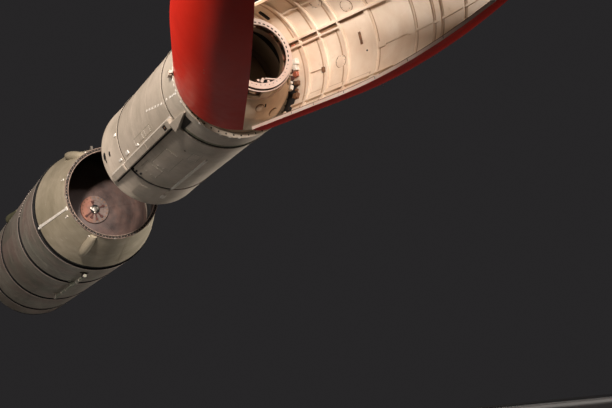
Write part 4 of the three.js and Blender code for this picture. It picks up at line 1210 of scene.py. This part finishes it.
def fairing_fittings(half):
    """Covers, latches, connectors and brackets on the inside of a half."""
    shape = Shape()
    middle, way = MIDDLE[half], SIDE[half]

    def spot(station, turn, lift=0.0):
        return at(station, fairing_inside(station) - lift, middle + way * turn)

    def inward(turn):
        return -outward(middle + way * turn)

    def across(station, turn, lift, sizes, mark=4):
        """A block that lies round the fairing."""
        shape.block(spot(station, turn, lift), outward(middle + way * (turn + 90)), inward(turn), sizes,
                    mark=mark)

    # round covers: station, azimuth from the half's middle
    for s, a in ((0.77, -2.5), (1.07, 42.5), (0.77, 58.0), (1.50, -52.0)):
        # each cover sits in a ring of painted shade
        for radius, height, chamfer, mark in (
                (0.074, 0.003, 0.1, 6), (0.066, 0.006, 0.3, 0), (0.050, 0.011, 0.3, 0)):
            shape.disc(spot(s, a), inward(a), radius, height, 40, chamfer, mark)
        for i in range(8):
            turn = i * math.pi / 4
            offset = AXIS * (0.058 * math.cos(turn)) + outward(middle + 90) * (0.058 * math.sin(turn))
            shape.bolt(spot(s, a, 0.005) + offset, inward(a), 0.004, mark=3)
    # the slotted latch and its foot
    across(1.08, 12.0, 0.003, (0.090, 0.012, 0.006))
    across(1.08, 12.0, 0.002, (0.110, 0.036, 0.004))
    shape.block(spot(1.085, 6.5, 0.006), outward(middle + way * 96), inward(6.5), (0.034, 0.032, 0.012),
                mark=4)
    shape.disc(spot(1.14, -2.5), inward(-2.5), 0.010, 0.005, 16, mark=1)
    shape.tube([spot(0.325, -1.5, 0.010), spot(0.40, -1.7, 0.010), spot(0.50, -2.2, 0.010)], 0.006, 10)
    # a black patch at the base: painted shadow of the payload cone
    shape.patch(fairing_inside, (0.009, 0.102), (middle - way * 40, middle - way * 4), -0.0005, mark=1,
                low=-RIB_DEPTH - 0.0015)
    # connectors and brackets: station, azimuth, sizes, lift of the middle, chamfer, mark
    for s, a, sizes, lift, chamfer, mark in (
            (0.52, -4.0, (0.034, 0.060, 0.028), 0.014, 0.003, 4),
            (0.145, 14.5, (0.060, 0.066, 0.048), 0.023, 0.006, 2),
            (0.125, 8.7, (0.060, 0.060, 0.048), 0.023, 0.006, 2),
            (0.110, 2.5, (0.064, 0.056, 0.040), 0.019, 0.006, 5),
            (0.190, 29.0, (0.050, 0.030, 0.020), 0.009, 0.006, 5),
            (0.120, -7.0, (0.070, 0.050, 0.040), 0.019, 0.006, 4),
            (0.120, -21.0, (0.075, 0.070, 0.040), 0.019, 0.006, 4),
            (0.105, -14.0, (0.050, 0.030, 0.030), 0.014, 0.006, 4)):
        shape.block(spot(s, a, lift), AXIS, inward(a), sizes, chamfer, mark)
    across(0.125, 70, 0.012, (0.150, 0.030, 0.024), 1)
    fairing_piece(shape, half, "_fittings",
                  "inner_cream joint_black white steel brown salmon recess")


def keep_cad_nodes():
    """CAD nodes that stay in view take a finish and smooth shading."""
    kept = {
        "steel": ("first_stage_hoist_lug", "first_stage_turbopump"),
        "dark_metal": ("first_stage_thrust_plate", "second_stage_thrust_frame", "gimbal_ring_left",
                       "gimbal_ring_right", *["gimbal_bracket_%d" % i for i in range(1, 5)]),
        "tank_alloy": ("second_stage_thrust_dome",),
        "nozzle_metal": ("second_stage_chamber_left", "second_stage_chamber_right",
                         *["chamber_pair_%d" % i for i in range(1, 5)]),
        "stage_paint": ("hinge_post_left", "hinge_post_right",
                        "fairing_left_hinge", "fairing_right_hinge"),
    }
    for finish, nodes in kept.items():
        for node in nodes:
            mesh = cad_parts[node].data
            mesh.materials.clear()
            mesh.materials.append(FINISH[finish])
            round_off(mesh, SMOOTH_NODE)


# Scene
def stand(name, data):
    obj = bpy.data.objects.new(name, data)
    bpy.context.scene.collection.objects.link(obj)
    return obj


def camera():
    data = bpy.data.cameras.new("photo_camera")
    data.sensor_fit = "HORIZONTAL"
    data.sensor_width = SENSOR
    data.lens = FOCAL_PIXELS * SENSOR / PHOTO_WIDTH
    data.clip_end = VIEW_REACH
    back = CAMERA_RIGHT.cross(CAMERA_UP).normalized()
    up = back.cross(CAMERA_RIGHT).normalized()
    turn = Matrix((up.cross(back), up, back)).transposed().to_4x4()
    obj = stand("photo_camera", data)
    obj.matrix_world = Matrix.Translation(CAMERA_PLACE) @ turn
    bpy.context.scene.camera = obj


def lamp(name, place, target, size, power, colour, cone, blend, glossy=True):
    """A soft lamp aimed from one place to another: a disc, or a spot where its blend is given."""
    data = bpy.data.lights.new(name, "SPOT" if blend else "AREA")
    data.energy = power
    data.color = colour
    if blend:
        data.shadow_soft_size = size
        data.spot_size = math.radians(cone)
        data.spot_blend = blend
    else:
        data.shape = "DISK"
        data.size = size
        data.spread = math.radians(cone)
    obj = stand(name, data)
    obj.visible_camera = False
    obj.visible_glossy = glossy
    obj.location = ORIGIN + Vector(place)
    aim = ORIGIN + Vector(target) - obj.location
    obj.rotation_euler = aim.to_track_quat("-Z", "Y").to_euler()


def studio():
    far = FLOOR_REACH
    corners = [(-far, -far, FLOOR), (far, -far, FLOOR), (far, far, FLOOR), (-far, far, FLOOR)]
    mesh = bpy.data.meshes.new("studio_floor")
    mesh.from_pydata(corners, [], [[0, 1, 2, 3]])
    mesh.materials.append(FINISH["floor_finish"])
    stand("studio_floor", mesh)

    scene = bpy.context.scene
    scene.world = bpy.data.worlds.new("studio_world")
    scene.world.use_nodes = True
    sky = scene.world.node_tree.nodes["Background"]
    sky.inputs["Color"].default_value = (0.020, 0.019, 0.020, 1.0)
    sky.inputs["Strength"].default_value = 1.0
    scene.view_settings.view_transform = "Standard"

    # name, place, target, size, power, colour, cone, blend, whether gloss shows it
    warm, pale = (1.0, 0.90, 0.82), (1.0, 0.96, 0.92)
    lamp("key", (9.3, -6.05, 2.6), (-3.0, -0.9, 4.8), 0.9, 19000, warm, 59, 0.6)
    lamp("payload_key", (8.5, -2.4, 2.4), (0.65, 0.42, -0.50), 0.4, 3200, warm, 18, 0.9)
    lamp("red_side", (-0.5, -8.4, 3.6), (1.6, -1.5, 0.3), 0.8, 4600, pale, 32, 0.9, False)
    lamp("dome_light", (-4.2, -0.06, -0.22), (-6.42, -0.20, -0.27), 0.03, 32, pale, 33, 0.2)
    lamp("starboard_fill", (-3.0, -9.0, -0.9), (-3.0, 0.0, 0.0), 3.0, 14, pale, 70, None, False)
    lamp("port_fill", (-3.0, 14.0, 0.6), (-3.0, 0.0, 1.0), 5.0, 380, pale, 60, None, False)
    lamp("aft_fill", (-20.0, 6.0, 1.0), (-11.6, 0.0, 0.4), 3.0, 240, pale, 60, None, False)


first_stage_bay()
first_stage_rim()
first_stage_tanks()
first_stage_dome()
first_stage_fittings()
for blister, place in BLISTERS.items():
    blister_skin(blister, place)
first_stage_tail()
second_stage_skins()
second_stage_fittings()
payload_cone()
payload_gallery()
payload_ring()
second_stage_dome()
for fairing_half in SIDE:
    fairing_shell(fairing_half)
    fairing_ribs(fairing_half)
    fairing_flange(fairing_half)
    fairing_fittings(fairing_half)
keep_cad_nodes()
camera()
studio()
